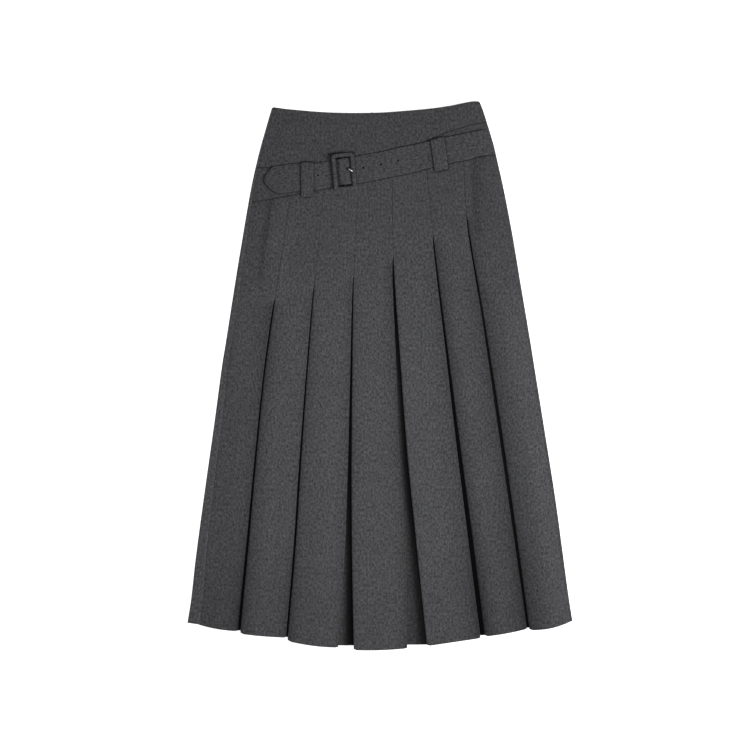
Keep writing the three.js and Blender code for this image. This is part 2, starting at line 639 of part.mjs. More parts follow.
// ---------------------------------------------------------------- belt loops

for (const l of LOOPS) {
  const rows = [];
  for (const s of [0, 0.5, 1]) {
    const topX = mix(l.topLeftX, l.topRightX, s), bottomX = mix(l.bottomLeftX, l.bottomRightX, s);
    const footY = mix(l.footLeftY, l.footRightY, s);
    const half = LOOP_CLOTH / 2;
    const lowY = strapBottomY(bottomX) - SEAM - half - 0.45, highY = strapTopY(topX) + SEAM + half + 0.15;
    const xAt = (y) => mix(topX, bottomX, (highY - y) / (highY - footY));
    const on = (y, over) => {
      const x = xAt(y);
      return [x, y, topZ(x, y) + SEAM + half + over];
    };
    const over = STRAP + 2 * SEAM;
    rows.push([
      on(footY, 0), on(lowY - 1, 0), on(lowY, 1.4), on(lowY + 0.2, over),
      on(mix(lowY, highY, 0.35), over), on(mix(lowY, highY, 0.7), over),
      on(highY - 0.2, over), on(highY, 1.2), on(highY + 0.1, 0.1 - half),
    ]);
  }
  const dx = rows[1][8][0] - rows[1][0][0], dy = rows[1][8][1] - rows[1][0][1], length = Math.hypot(dx, dy);
  add(l.name, wall(rows, LOOP_CLOTH, dx / length, dy / length), flannel(0.93));
}

// ---------------------------------------------------------------- centre-back zip

// Its tape lies inside, between the back and the yoke, and its top stands a little
// above the waist.
const zipTop = waistY(CENTRE_BACK_X);
const tapeRows = [];
for (const y of [zipTop - ZIP.start, zipTop - ZIP.length / 2, zipTop - ZIP.length])
  tapeRows.push([-0.5, 0, 0.5].map((u) => [CENTRE_BACK_X + u * ZIP.tapeWidth, y, CLOTH + SEAM + ZIP.tapeThick / 2]));
add("back_zip_tape", wall(tapeRows, ZIP.tapeThick), blackZip());
const slider = new THREE.BoxGeometry(5, 11.2, 2.4);
slider.translate(CENTRE_BACK_X - 1, zipTop - 9.6 + 11.2 / 2, CLOTH + SEAM + 1.2);
add("back_zip_slider", slider, blackZip());

export default skirt;
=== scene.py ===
# The looks of the pleated maxi skirt, laid flat. The sizes and tables are those of
# part.mjs, in millimetres; everything is turned into metres where a mesh is made.

import math

import bpy
import numpy as np
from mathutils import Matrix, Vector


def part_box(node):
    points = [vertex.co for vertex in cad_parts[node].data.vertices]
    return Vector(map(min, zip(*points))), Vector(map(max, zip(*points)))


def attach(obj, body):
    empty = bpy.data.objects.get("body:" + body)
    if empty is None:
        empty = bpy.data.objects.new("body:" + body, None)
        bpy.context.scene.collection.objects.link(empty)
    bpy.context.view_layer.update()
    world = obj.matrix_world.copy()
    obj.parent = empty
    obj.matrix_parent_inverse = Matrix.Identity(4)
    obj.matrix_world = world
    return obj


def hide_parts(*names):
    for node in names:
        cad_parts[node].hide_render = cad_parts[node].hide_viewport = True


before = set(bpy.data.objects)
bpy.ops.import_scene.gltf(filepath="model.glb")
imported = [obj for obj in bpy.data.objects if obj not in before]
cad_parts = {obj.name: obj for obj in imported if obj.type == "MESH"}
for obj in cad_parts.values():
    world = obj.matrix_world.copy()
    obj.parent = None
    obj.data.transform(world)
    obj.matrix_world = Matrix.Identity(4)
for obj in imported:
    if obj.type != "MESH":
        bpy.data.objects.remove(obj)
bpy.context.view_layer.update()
MM = 0.001

# ------------------------------------------------------------------ sizes

CLOTH = 1.6  # the wall of the solids; the visible cloth is a little thinner
VISIBLE = 1.25
SEAM = 0.3
LAYER = CLOTH + 0.35
BACK_MID = CLOTH / 2
EDGE_MID = 3.2
RISE_LEFT, RISE_RIGHT = (75.0, 1.7), (58.0, 2.1)  # width over which the front rises from a side seam, and how fast
CENTRE_BACK_X = -14.0
ZIP_LENGTH, ZIP_TAPE = 200.0, 0.8
STRAP = 2.2
LOOP_CLOTH = 1.8
BUCKLE = dict(x=-64.0, y=356.6, width=40.0, height=65.0, side=7.0, end=6.5, thick=4.5, turn=math.radians(5.4))
STRAP_OVER_BAR = 4.6


def table(columns, *rows):
    """A table with named columns, as one array for each column."""
    a = np.array(rows, float)
    return {c: a[:, i] for i, c in enumerate(columns.split())}


OUTLINE = table(
    "y left right wrap_left wrap_right",
    (479, -186.8, 174.3, 2.2, 2.2), (465, -191.4, 179.8, 2.2, 2.2), (439, -199, 188.1, 2.3, 2.3), (404, -209, 198.5, 2.5, 2.6),
    (369, -217.8, 206.6, 3, 3.2), (334, -225.5, 214.5, 3.9, 3.8), (299, -232, 221.6, 5.2, 4), (237, -242.5, 233.1, 7.2, 4.2),
    (167, -254, 244.7, 9.2, 4.1), (62, -270.4, 262.4, 11, 4), (17, -277.7, 269.6, 11.6, 4), (-77, -290.3, 284.7, 12.9, 4.1),
    (-217, -310, 306.8, 15.3, 4.2), (-322, -324, 321, 17.8, 4.2), (-392, -331.8, 330.5, 19.5, 4.1), (-434, -338.4, 337.2, 20.8, 4),
)
WAIST = table(
    "x y",
    (-190, 470.4), (-158, 466), (-88, 460.5), (-10, 460), (38, 463), (87, 467.4), (122, 472.4), (160, 480), (174, 480.3),
)
YOKE_SEAM = table(
    "x y",
    (-218, 364.5), (-192, 364.6), (-158, 367), (-116, 370), (-88, 373.2), (-40, 382.4), (12, 392.6), (58, 403),
    (87, 413.8), (112, 425.4), (134, 431.8), (157, 439), (188, 445.4),
)
PLEAT_SEAM = table(
    "x y",
    (-226, 304), (-202, 307.4), (-169, 313), (-141, 318.4), (-116, 323.8), (-62, 333.2), (-1, 344.6), (60, 357.2),
    (118, 370.4), (168, 381.6), (202, 389),
)
BACK_HEM = table(
    "x y",
    (-339, -432.2), (-314, -435.6), (-250, -443), (-164, -454), (-60, -467.5), (0, -470), (64, -467), (179, -451), (258, -437.5), (338, -429.4),
)
LOFT = table(
    "y z",
    (480, 5.6), (440, 6), (390, 7), (340, 7.9), (250, 8.4), (100, 9.2), (-100, 10.1), (-300, 10.8), (-480, 11.4),
)
PLEAT_COLUMNS = "seam_x tip_x tip_y x1 x2 x3 hem_x gap2 gap3 gap_hem depth_top depth_hem lift drop floor hem"
PLEATS = [
    dict(zip(PLEAT_COLUMNS.split(), row))
    for row in (
        (-158, -184.3, 136, -203.9, -218.3, -231.2, -245, 2.9, 4, 4.8, 19, 30, 3.4, 2.6, 3.2, -445.5),
        (-99.5, -115.4, 162, -127.9, -138.8, -148.8, -162.3, 3.2, 3.6, 3.1, 21, 32, 0.4, 1.2, 3.2, -457),
        (-39, -46.8, 176, -49.3, -50.6, -50, -47, 6, 12.5, 27, 21, 30, 4.2, 1, 5.7, -471.6),
        (20, 22.4, 209, 33.8, 46.4, 63.4, 81, 13, 19, 34, 21, 28, 4.2, 1, 5.7, -470.4),
        (80.5, 92, 246, 114.4, 137, 160.4, 182.5, 6, 7.8, 7.8, 21, 30, 3.4, 1.8, 3.2, -454),
        (145.5, 150.4, 285, 180.8, 209.4, 235.6, 260.4, 5.6, 5.6, 4.4, 14, 28, 0, 1.2, 3.2, -440.5),
    )
]
# How the mouth of each pleat looks: how far it springs open under its tip and over what
# length, how deep and wide the edges on its two sides roll down, and how much light the
# cloth beside them loses, over what width.
MOUTHS = [
    dict(zip("spring over roll_left width_left roll_right width_right shade_left reach_left shade_right reach_right".split(), row))
    for row in (
        (2.0, 10, 1.6, 18, 2.4, 24, 0.46, 17, 0.36, 12),
        (1.1, 10, 1.0, 16, 1.6, 18, 0.3, 9, 0.26, 10),
        (1.0, 14, 0.5, 12, 0.0, 12, 0.34, 8, 0.22, 12),
        (1.9, 14, 0.5, 12, 0.0, 12, 0.42, 11, 0.12, 8),
        (1.5, 8, 1.2, 18, 1.6, 18, 0.4, 14, 0.44, 15),
        (1.5, 14, 1.4, 16, 4.0, 46, 0.5, 17, 0.42, 17),
    )
]
# how much more of it there is near the hem, and whether it begins slowly under the tip
for pleat, mouth, late, slow in zip(PLEATS, MOUTHS, (0.35, 0.65, 0, 0, 0.55, 0.4), (0, 0, 0, 0, 0.5, 1)):
    pleat.update(mouth, late=late, slow=slow)
# Across the two pleats that stand open the underlay loses light towards the proud fold
# edge, fastest at first: how much it loses at its open side, how much at the edge close
# to the hem, where light comes in from below, how fast it falls there, and how far the
# pleat has opened when the underlay begins to show.
for pleat, row in ((PLEATS[2], (0.2, 1.0, 2.0, 0.5, 0.45)), (PLEATS[3], (0.38, 0.88, 1.0, 0.15, 0.25))):
    pleat.update(zip("open_shade hem_shade hem_fall shows over_open".split(), row))
PANELS = [
    dict(zip("left middle right crown".split(), row))
    for row in (
        (-436, -443.1, -446.5, 1.4), (-451, -455.3, -457.6, 0.6), (-464, -471.8, -475.2, 2), (-479.2, -479.5, -476.6, 0.8),
        (-472, -465.6, -459, 0.6), (-455.4, -450.6, -443, 0.8), (-444.8, -441.6, -430.4, 2),
    )
]
HIP_HOLLOWS = [
    dict(zip("x0 y0 x1 y1 depth width".split(), row))
    for row in ((-193, 299, -208, 110, 0.6, 11), (160, 376, 175, 270, 0.45, 8))
]
# Soft troughs and ridges placed on the faces of the front: from one end to the
# other, how far each bows sideways, how high it stands, how wide it is on either side,
# and over what part of its length each end fades.
CREASES = [
    dict(zip("x0 y0 x1 y1 bow height left right head foot".split(), row))
    for row in (
        (-181, 334, -202.5, 112, -5.5, 2.9, 9, 30, 0.12, 0.4),  # the step down the left hip, sharp on its outer side
        (-212, 250, -226, 96, -4, 0.5, 10, 12, 0.4, 0.4),
        (-244, 150, -298, -330, 3, 1.0, 14, 34, 0.3, 0.4),  # the left panel is flattest near its side seam
        (177, 392, 180, 262, 4, 2.3, 8, 24, 0.16, 0.5),  # right hip
        (190, 372, 203, 240, 4, 0.4, 8, 10, 0.4, 0.4),
        (-160, 232, -166, 140, 2, -0.6, 8, 8, 0.4, 0.4),  # beside the tips of the pleats
        (-78, 262, -84, 120, -2, -0.4, 9, 9, 0.4, 0.4),
        (70, 236, 76, 120, 2, -0.6, 9, 9, 0.4, 0.4),
        (4, 300, 0, 120, 2, -0.35, 8, 8, 0.4, 0.4),
        (122, 316, 136, 160, -2, -0.35, 8, 8, 0.4, 0.4),
        (-262, 60, -300, -420, 4, -0.4, 9, 9, 0.4, 0.3),  # down the panels
        (-232, 40, -268, -430, -3, 0.5, 12, 12, 0.4, 0.3),
        (-172, 60, -196, -440, 3, -0.45, 9, 9, 0.4, 0.3),
        (-150, -90, -186, -450, -2, 0.4, 8, 8, 0.4, 0.3),
        (-90, 90, -108, -460, 4, 0.5, 13, 13, 0.4, 0.3),
        (-110, -60, -138, -450, -3, -0.4, 8, 8, 0.4, 0.3),
        (-12, 140, -20, -470, -3, -0.4, 10, 10, 0.4, 0.3),
        (14, 60, 22, -465, 3, 0.35, 9, 9, 0.4, 0.3),
        (76, 140, 124, -465, 4, -0.45, 10, 10, 0.4, 0.3),
        (96, 40, 150, -455, 3, 0.35, 8, 8, 0.4, 0.3),
        (140, 150, 208, -440, -4, -0.4, 9, 9, 0.4, 0.3),
        (170, 60, 232, -440, 3, 0.4, 9, 9, 0.4, 0.3),
        (206, 60, 280, -430, 5, -0.4, 9, 9, 0.4, 0.3),
        (232, 40, 306, -420, 4, 0.5, 13, 13, 0.4, 0.3),
    )
]
STRAP_EDGES = table(
    "x top bottom",
    (-203.6, 346.5, 338.5), (-197, 357, 330.6), (-188.5, 365.8, 323.4), (-178, 367.4, 319.2), (-153, 371, 321.8),
    (-116, 372, 324.8), (-92, 375, 328.2), (-78, 378, 332.4), (-50, 382.4, 335.6), (-34, 385.8, 337.6), (-16, 388.8, 340.8),
    (8, 393.2, 345.6), (34, 400, 350.8), (60, 404.8, 356.8), (92, 412.6, 365), (118, 418.4, 371.6), (148, 424.6, 376.8),
    (166, 428.4, 382.4), (183, 431.2, 386), (202, 433.8, 387),
)
STRAP_HOLES = [(-109.5, 351, 1.75), (-57.6, 362.2, 2.5), (-30, 364, 1.75), (1, 370, 1.75), (30.5, 376.6, 1.75)]
LOOPS = [
    ("belt_loop_right_hip", -138.6, -117.5, -138.6, -117.5, 313, 314.5),
    ("belt_loop_left_hip", 87.5, 110.5, 95.5, 118, 357.8, 362.6),
]
PRONG = [(-58.6, 362.9, 14.3), (-57.8, 362.4, 15.4), (-55.4, 361.2, 17.4), (-51.5, 359, 18.4), (-48, 356.2, 18.1), (-46.2, 352.6, 17.3)]
# Painted shade where the cloth folds softly and the dent keeps some of the light out, the last one broad and faint:
# points down the line, its half width, and how much light it loses.
DENT_SHADE = [
    (((-189.5, 312), (-194, 290), (-200.6, 248), (-206.4, 212), (-211.6, 170), (-214, 124)), 7, 0.26),
    (((163, 385), (164, 366), (165, 330), (166.5, 290), (170, 262), (175, 205)), 9.5, 0.4),
    (((-126, 340), (-130, 250), (-134, 130)), 62, 0.13),
]


# ------------------------------------------------------------------ curves


def hermite(k, v, u):
    """A smooth curve through the points (k, v), k rising, read at u."""
    k, v, u = np.asarray(k, float), np.asarray(v, float), np.clip(u, k[0], k[-1])
    i = np.clip(np.searchsorted(k, u, side="right") - 1, 0, len(k) - 2)
    m = np.empty(len(k))
    m[1:-1] = (v[2:] - v[:-2]) / (k[2:] - k[:-2])
    m[0], m[-1] = (v[1] - v[0]) / (k[1] - k[0]), (v[-1] - v[-2]) / (k[-1] - k[-2])
    h = k[i + 1] - k[i]
    t = (u - k[i]) / h
    return (2 * t**3 - 3 * t**2 + 1) * v[i] + (t**3 - 2 * t**2 + t) * h * m[i] + (3 * t**2 - 2 * t**3) * v[i + 1] + (t**3 - t**2) * h * m[i + 1]


def read(t, key, at, column):
    k, v = t[key], t[column]
    return hermite(k, v, at) if k[0] <= k[-1] else hermite(k[::-1], v[::-1], at)


def across(knots_x, knots_z, x):
    """The same curve with its own knots in each row: arrays (rows, knots), read at x (rows, n)."""
    out = np.empty_like(x)
    for j in range(len(x)):
        out[j] = hermite(knots_x[j], knots_z[j], x[j])
    return out


def mix(a, b, t):
    return a + (b - a) * t


def clamp01(t):
    return np.clip(t, 0, 1)


def smooth(t):
    t = clamp01(t)
    return t * t * (3 - 2 * t)


left_edge = lambda y: read(OUTLINE, "y", y, "left")
right_edge = lambda y: read(OUTLINE, "y", y, "right")
waist_y = lambda x: read(WAIST, "x", x, "y")
yoke_seam_y = lambda x: read(YOKE_SEAM, "x", x, "y")
pleat_seam_y = lambda x: read(PLEAT_SEAM, "x", x, "y")
back_hem_y = lambda x: read(BACK_HEM, "x", x, "y")
wrap_left = lambda y: read(OUTLINE, "y", y, "wrap_left")
wrap_right = lambda y: read(OUTLINE, "y", y, "wrap_right")
front_left = lambda y: left_edge(y) + wrap_left(y) + SEAM
front_right = lambda y: right_edge(y) - wrap_right(y) - SEAM


def front_z(x, y):
    rise = np.minimum(
        1 - np.power(1 - clamp01((x - front_left(y)) / RISE_LEFT[0]), RISE_LEFT[1]),
        1 - np.power(1 - clamp01((front_right(y) - x) / RISE_RIGHT[0]), RISE_RIGHT[1]),
    )
    z = mix(EDGE_MID, read(LOFT, "y", y, "z"), rise)
    for f in HIP_HOLLOWS:
        t = clamp01((f["y0"] - y) / (f["y0"] - f["y1"]))
        a = (x - mix(f["x0"], f["x1"], t)) / f["width"]
        past = np.maximum(np.maximum(y - f["y0"], f["y1"] - y), 0) / 40
        z = z - f["depth"] * np.exp(-a * a - past * past) * np.sin(np.pi * mix(0.25, 1, t))
    return z


def creases(x, y):
    """Height of the soft troughs and ridges, which fade at both ends."""
    z = np.zeros_like(x)
    for c in CREASES:
        t = (c["y0"] - y) / (c["y0"] - c["y1"])
        inside = clamp01(t)
        line = mix(c["x0"], c["x1"], inside) + c["bow"] * np.sin(np.pi * inside)
        fade = smooth(inside / c["head"]) * smooth((1 - inside) / c["foot"])
        a = (x - line) / np.where(x < line, c["left"], c["right"])
        z += c["height"] * fade * np.exp(-a * a)
    return z


def ripple(x, y, seed=0.0):
    """Slow unevenness of cloth lying loose, a few tenths of a millimetre."""
    return (
        0.16 * np.sin(x * 0.051 + y * 0.017 + 1.3 + seed) * np.sin(y * 0.023 - x * 0.009 + 0.4)
        + 0.12 * np.sin(x * 0.093 - y * 0.031 + 2.1 + seed * 2)
        + 0.08 * np.sin(y * 0.071 + x * 0.024 + seed * 3)
    )


# ------------------------------------------------------------------ where pieces lie on each other


def outside(polygon, x, y):
    """Distance from points to a closed outline, 0 inside it."""
    px, py = np.asarray(x, float).ravel(), np.asarray(y, float).ravel()
    a = np.asarray(polygon, float)
    b = np.roll(a, -1, axis=0)
    best = np.full(px.shape, 1e9)
    within = np.zeros(px.shape, bool)
    for (ax, ay), (bx, by) in zip(a, b):
        dx, dy = bx - ax, by - ay
        t = clamp01(((px - ax) * dx + (py - ay) * dy) / max(dx * dx + dy * dy, 1e-9))
        best = np.minimum(best, np.hypot(px - ax - t * dx, py - ay - t * dy))
        if dy:
            within ^= ((ay > py) != (by > py)) & (px < dx * (py - ay) / dy + ax)
    return np.where(within, 0, best).reshape(np.shape(x))


STRAP_OUTLINE = np.concatenate([
    np.stack([STRAP_EDGES["x"], STRAP_EDGES["top"]], -1), np.stack([STRAP_EDGES["x"], STRAP_EDGES["bottom"]], -1)[::-1],
])
LOOP_OUTLINES = []
for _name, tl, tr, bl, br, fl, fr in LOOPS:
    LOOP_OUTLINES.append([
        (tl, float(read(STRAP_EDGES, "x", tl, "top")) + 2), (tr, float(read(STRAP_EDGES, "x", tr, "top")) + 2), (br, fr), (bl, fl),
    ])
BUCKLE_OUTLINE = []
for u, v in ((-1, 1), (1, 1), (1, -1), (-1, -1)):
    u, v = u * BUCKLE["width"] / 2, v * BUCKLE["height"] / 2
    _c, _s = math.cos(BUCKLE["turn"]), math.sin(BUCKLE["turn"])
    BUCKLE_OUTLINE.append((BUCKLE["x"] + u * _c - v * _s, BUCKLE["y"] + u * _s + v * _c))


def contact(x, y, strap=0.0, loops=0.0, buckle=0.0):
    """How much light the cloth loses right beside what lies on it."""
    c = np.zeros(np.shape(x))
    near = lambda d, strength, width: strength * np.exp(-((np.maximum(d - 0.5, 0) / width) ** 2))
    if strap:
        # more of it under the lower edge, which hangs a little off the cloth
        low = y < (read(STRAP_EDGES, "x", x, "top") + read(STRAP_EDGES, "x", x, "bottom")) / 2
        c = np.maximum(c, near(outside(STRAP_OUTLINE, x, y), strap * np.where(low, 1.0, 0.85), np.where(low, 1.5, 1.0)))
    if loops:
        for o in LOOP_OUTLINES:
            middle = sum(q[0] for q in o) / 4
            low = np.where(y < o[2][1], 1.25, 1.0)
            c = np.maximum(c, near(outside(o, x, y), loops * low * np.where(x < middle, 1.0, 1.1), 1.4 * low))
            # and most where their ends are tucked in
            corner = np.minimum(*[np.hypot(x - q[0], y - q[1]) for q in o[2:]])
            c = np.maximum(c, 1.4 * loops * np.exp(-((corner / 2.6) ** 2)))
    if buckle:
        # more of it towards -X, away from the light
        d = outside(BUCKLE_OUTLINE, x, y)
        c = np.maximum(c, near(d, buckle, np.where(x < BUCKLE["x"], 3.4, 1.6)))
    if strap:
        # the point lies closest over the cloth at its upper corner
        c = np.maximum(c, 0.9 * strap * np.exp(-(((x + 190) / 3) ** 2) - ((y - 365.5) / 2.6) ** 2) * 1.4)
    return c


def dent_shade(x, y):
    c = np.zeros(np.shape(x))
    for points, width, strength in DENT_SHADE:
        k, v = [p[1] for p in points[::-1]], [p[0] for p in points[::-1]]
        ends = smooth((points[0][1] + 14 - y) / 28) * smooth((y - points[-1][1]) / 60)
        c = np.maximum(c, strength * ends * np.exp(-(((x - hermite(k, v, y)) / width) ** 2)))
    return c


# ------------------------------------------------------------------ meshes


def mesh_object(name, points, faces, uvs=None, shade=None):
    me = bpy.data.meshes.new(name)
    me.from_pydata((np.asarray(points) * MM).tolist(), [], faces)
    if uvs is not None:
        layer = me.uv_layers.new(name="cloth")
        loops = np.empty(len(me.loops), np.int32)
        me.loops.foreach_get("vertex_index", loops)
        layer.data.foreach_set("uv", (np.asarray(uvs, np.float32)[loops] * MM).ravel())
    # painted shade, one value for each point: how much its colour is darkened to stand in for shade
    if shade is not None:
        at = me.attributes.new("painted_shade", "FLOAT", "POINT")
        at.data.foreach_set("value", np.asarray(shade, np.float32))
    me.polygons.foreach_set("use_smooth", [True] * len(me.polygons))
    me.update()
    o = bpy.data.objects.new(name, me)
    bpy.context.scene.collection.objects.link(o)
    return o


def grid_normals(p):
    du, dv = np.gradient(p, axis=1), np.gradient(p, axis=0)
    n = np.cross(dv, du)
    return n / np.maximum(np.linalg.norm(n, axis=2, keepdims=True), 1e-9)


def shell(name, p, thick, uv, shade=None, shade_under=None, rim_steps=1, thick_of=None):
    """A closed sheet of cloth round a grid of middle points p (rows, columns, 3), with rounded edges.
    Rows run from the waist down, columns from -X to +X, and the outer face is up."""
    rows, cols = p.shape[:2]
    n = grid_normals(p)
    half = thick / 2 if thick_of is None else thick_of[..., None] / 2
    outer, inner = p + n * half, p - n * half
    shade = np.zeros((rows, cols)) if shade is None else shade
    shade_under = shade if shade_under is None else shade_under
    ids = np.arange(rows * cols).reshape(rows, cols)
    a, b, c, d = ids[:-1, :-1], ids[1:, :-1], ids[1:, 1:], ids[:-1, 1:]
    top = np.stack([a, b, c, d], -1).reshape(-1, 4)
    base = rows * cols
    under = np.stack([a + base, d + base, c + base, b + base], -1).reshape(-1, 4)
    # the rim, once round: down the -X side, along the hem, up the +X side, back along the top
    ring = np.concatenate([ids[:, 0], ids[-1, 1:], ids[-2::-1, -1], ids[0, -2:0:-1]])
    flat = p.reshape(-1, 3)
    out = np.zeros((rows, cols, 3))
    du, dv = np.gradient(p, axis=1), np.gradient(p, axis=0)
    unit = lambda v: v / np.maximum(np.linalg.norm(v, axis=-1, keepdims=True), 1e-9)
    out[:, 0] -= unit(du[:, 0])
    out[:, -1] += unit(du[:, -1])
    out[0] -= unit(dv[0])
    out[-1] += unit(dv[-1])
    out = unit(out).reshape(-1, 3)[ring]
    rings, nn = [ring], n.reshape(-1, 3)[ring]
    hh = (np.full(len(ring), thick / 2) if thick_of is None else thick_of.reshape(-1)[ring] / 2)[:, None]
    extra, extra_uv, extra_shade = [], [], []
    next_id = 2 * base
    for s in range(rim_steps):
        angle = math.pi / 2 - math.pi * (s + 1) / (rim_steps + 1)
        extra.append(flat[ring] + nn * hh * math.sin(angle) + out * hh * 0.85 * math.cos(angle))
        extra_uv.append(uv.reshape(-1, 2)[ring])
        extra_shade.append(shade.reshape(-1)[ring])
        rings.append(np.arange(next_id, next_id + len(ring)))
        next_id += len(ring)
    rings.append(ring + base)
    sides = []
    for r0, r1 in zip(rings[:-1], rings[1:]):
        sides.append(np.stack([r0, r1, np.roll(r1, -1), np.roll(r0, -1)], -1))
    points = np.concatenate([outer.reshape(-1, 3), inner.reshape(-1, 3), *extra])
    uvs = np.concatenate([uv.reshape(-1, 2), uv.reshape(-1, 2), *extra_uv])
    cav = np.concatenate([shade.ravel(), shade_under.ravel(), *extra_shade])
    faces = np.concatenate([top, under, *sides])
    return mesh_object(name, points, faces.tolist(), uvs, cav)


def plain_uv(p):
    return p[..., :2].copy()


# ------------------------------------------------------------------ materials


class Nodes:
    """A short way to write a node tree."""

    def __init__(self, name, slot):
        self.mat = bpy.data.materials.new(name)
        self.mat.use_nodes = True
        self.tree = self.mat.node_tree
        self.tree.nodes.clear()
        self.out = self.add("ShaderNodeOutputMaterial")
        self.bsdf = self.add("ShaderNodeBsdfPrincipled")
        self.link(self.bsdf.outputs[0], self.out.inputs["Surface"])

    def add(self, kind, **settings):
        n = self.tree.nodes.new(kind)
        for k, v in settings.items():
            setattr(n, k, v)
        return n

    def link(self, a, b):
        self.tree.links.new(a, b)

    def math(self, op, a, b=None, clamp=False):
        n = self.add("ShaderNodeMath", operation=op, use_clamp=clamp)
        for i, v in enumerate((a, b)):
            if v is None:
                continue
            if isinstance(v, (int, float)):
                n.inputs[i].default_value = v
            else:
                self.link(v, n.inputs[i])
        return n.outputs[0]

    def ramp(self, value, a0, a1, b0, b1):
        n = self.add("ShaderNodeMapRange", clamp=True)
        self.link(value, n.inputs["Value"])
        for k, v in zip(("From Min", "From Max", "To Min", "To Max"), (a0, a1, b0, b1)):
            n.inputs[k].default_value = v
        return n.outputs[0]

    def noise(self, vector, scale, detail=2.0, roughness=0.5, distortion=0.0):
        n = self.add("ShaderNodeTexNoise", noise_dimensions="3D")
        self.link(vector, n.inputs["Vector"])
        n.inputs["Scale"].default_value = scale
        n.inputs["Detail"].default_value = detail
        n.inputs["Roughness"].default_value = roughness
        n.inputs["Distortion"].default_value = distortion
        return n.outputs[0]

    def stretched(self, vector, sx, sy, turn=0.0):
        n = self.add("ShaderNodeMapping")
        self.link(vector, n.inputs["Vector"])
        n.inputs["Scale"].default_value = (sx, sy, 1)
        n.inputs["Rotation"].default_value = (0, 0, turn)
        return n.outputs[0]

    def scaled_colour(self, colour, factor):
        n = self.add("ShaderNodeVectorMath", operation="SCALE")
        n.inputs[0].default_value = colour
        self.link(factor, n.inputs["Scale"])
        return n.outputs[0]


def flannel(name, slot, colour, grain=1.0, dark=0.985):
    """Charcoal melange flannel: pale and dark fibres blended in the yarn, a fine twill under a brushed nap; its colour
    is darkened by the painted shade that the mesh carries.
    """
    m = Nodes(name, slot)
    uv = m.add("ShaderNodeUVMap", uv_map="cloth").outputs[0]
    # melange: clumps of pale and dark wool, a little longer down the cloth
    clumps = m.noise(m.stretched(uv, 1.0, 0.66), 300.0, 1.5, 0.62)
    fine = m.noise(m.stretched(uv, 1.0, 0.6), 900.0, 2.0, 0.6)
    broad = m.noise(uv, 42.0, 2.0, 0.5)
    cloud = m.noise(uv, 9.0, 1.0, 0.5)
    fibres = m.noise(m.stretched(uv, 1.0, 0.22, 0.5), 1400.0, 1.0, 0.5)
    streaks = m.noise(m.stretched(uv, 1.0, 0.12), 420.0, 1.0, 0.5)
    f = m.ramp(clumps, 0.28, 0.72, 1 - 0.5 * grain, 1 + 0.5 * grain)
    f = m.math("MULTIPLY", f, m.ramp(fine, 0.25, 0.75, 1 - 0.3 * grain, 1 + 0.3 * grain))
    f = m.math("MULTIPLY", f, m.ramp(broad, 0.3, 0.7, 0.95, 1.05))
    f = m.math("MULTIPLY", f, m.ramp(streaks, 0.3, 0.7, 0.885, 1.115))
    f = m.math("MULTIPLY", f, m.ramp(cloud, 0.3, 0.7, 0.975, 1.025))
    # single pale hairs and dark specks
    f = m.math("ADD", f, m.ramp(fibres, 0.68, 0.8, 0.0, 0.45 * grain))
    f = m.math("MULTIPLY", f, m.ramp(fibres, 0.22, 0.32, 0.7, 1.0))
    # painted shade read from the mesh: darker in the folds, beside and under what lies on the cloth, and where less
    # light falls; inside the folds almost no light comes back
    painted_shade = m.add("ShaderNodeAttribute", attribute_name="painted_shade").outputs["Fac"]
    f = m.math("MULTIPLY", f, m.ramp(painted_shade, 0.0, 1.0, 1.0, 1 - dark))
    m.link(m.scaled_colour(colour, f), m.bsdf.inputs["Base Color"])
    m.bsdf.inputs["Roughness"].default_value = 0.95
    m.bsdf.inputs["Specular IOR Level"].default_value = 0.18
    m.bsdf.inputs["Sheen Weight"].default_value = 0.06
    m.bsdf.inputs["Sheen Roughness"].default_value = 0.45
    m.bsdf.inputs["Sheen Tint"].default_value = (0.75, 0.76, 0.8, 1)
    # twill ribs 1.1 mm apart, blurred by the nap
    split = m.add("ShaderNodeSeparateXYZ")
    m.link(uv, split.inputs[0])
    diagonal = m.math("ADD", m.math("MULTIPLY", split.outputs[0], 5712.0), m.math("MULTIPLY", split.outputs[1], 4200.0))
    diagonal = m.math("ADD", diagonal, m.math("MULTIPLY", fine, 3.2))
    twill = m.math("SINE", diagonal)
    height = m.math("ADD", m.math("MULTIPLY", twill, 0.22), m.math("MULTIPLY", fine, 0.9))
    height = m.math("ADD", height, m.math("MULTIPLY", clumps, 1.1))
    bump = m.add("ShaderNodeBump")
    bump.inputs["Strength"].default_value = 0.55
    bump.inputs["Distance"].default_value = 0.0004
    m.link(height, bump.inputs["Height"])
    m.link(bump.outputs[0], m.bsdf.inputs["Normal"])
    return m.mat


def metal(name, slot, colour):
    m = Nodes(name, slot)
    pos = m.add("ShaderNodeTexCoord").outputs["Object"]
    fine = m.noise(m.stretched(pos, 1.0, 6.0), 1600.0, 2.0, 0.5)
    # painted shade at both ends of the prong, darkening its colour, and a rougher finish there
    painted_shade_and_roughness = m.add("ShaderNodeAttribute", attribute_name="painted_shade").outputs["Fac"]
    shine = m.math("MULTIPLY", m.ramp(fine, 0.3, 0.7, 0.92, 1.05), m.ramp(painted_shade_and_roughness, 0.0, 1.0, 1.0, 0.06))
    m.link(m.scaled_colour(colour, shine), m.bsdf.inputs["Base Color"])
    m.link(m.math("ADD", m.ramp(fine, 0.3, 0.7, 0.16, 0.3), m.ramp(painted_shade_and_roughness, 0.0, 1.0, 0.0, 0.3)), m.bsdf.inputs["Roughness"])
    m.bsdf.inputs["Metallic"].default_value = 1.0
    return m.mat


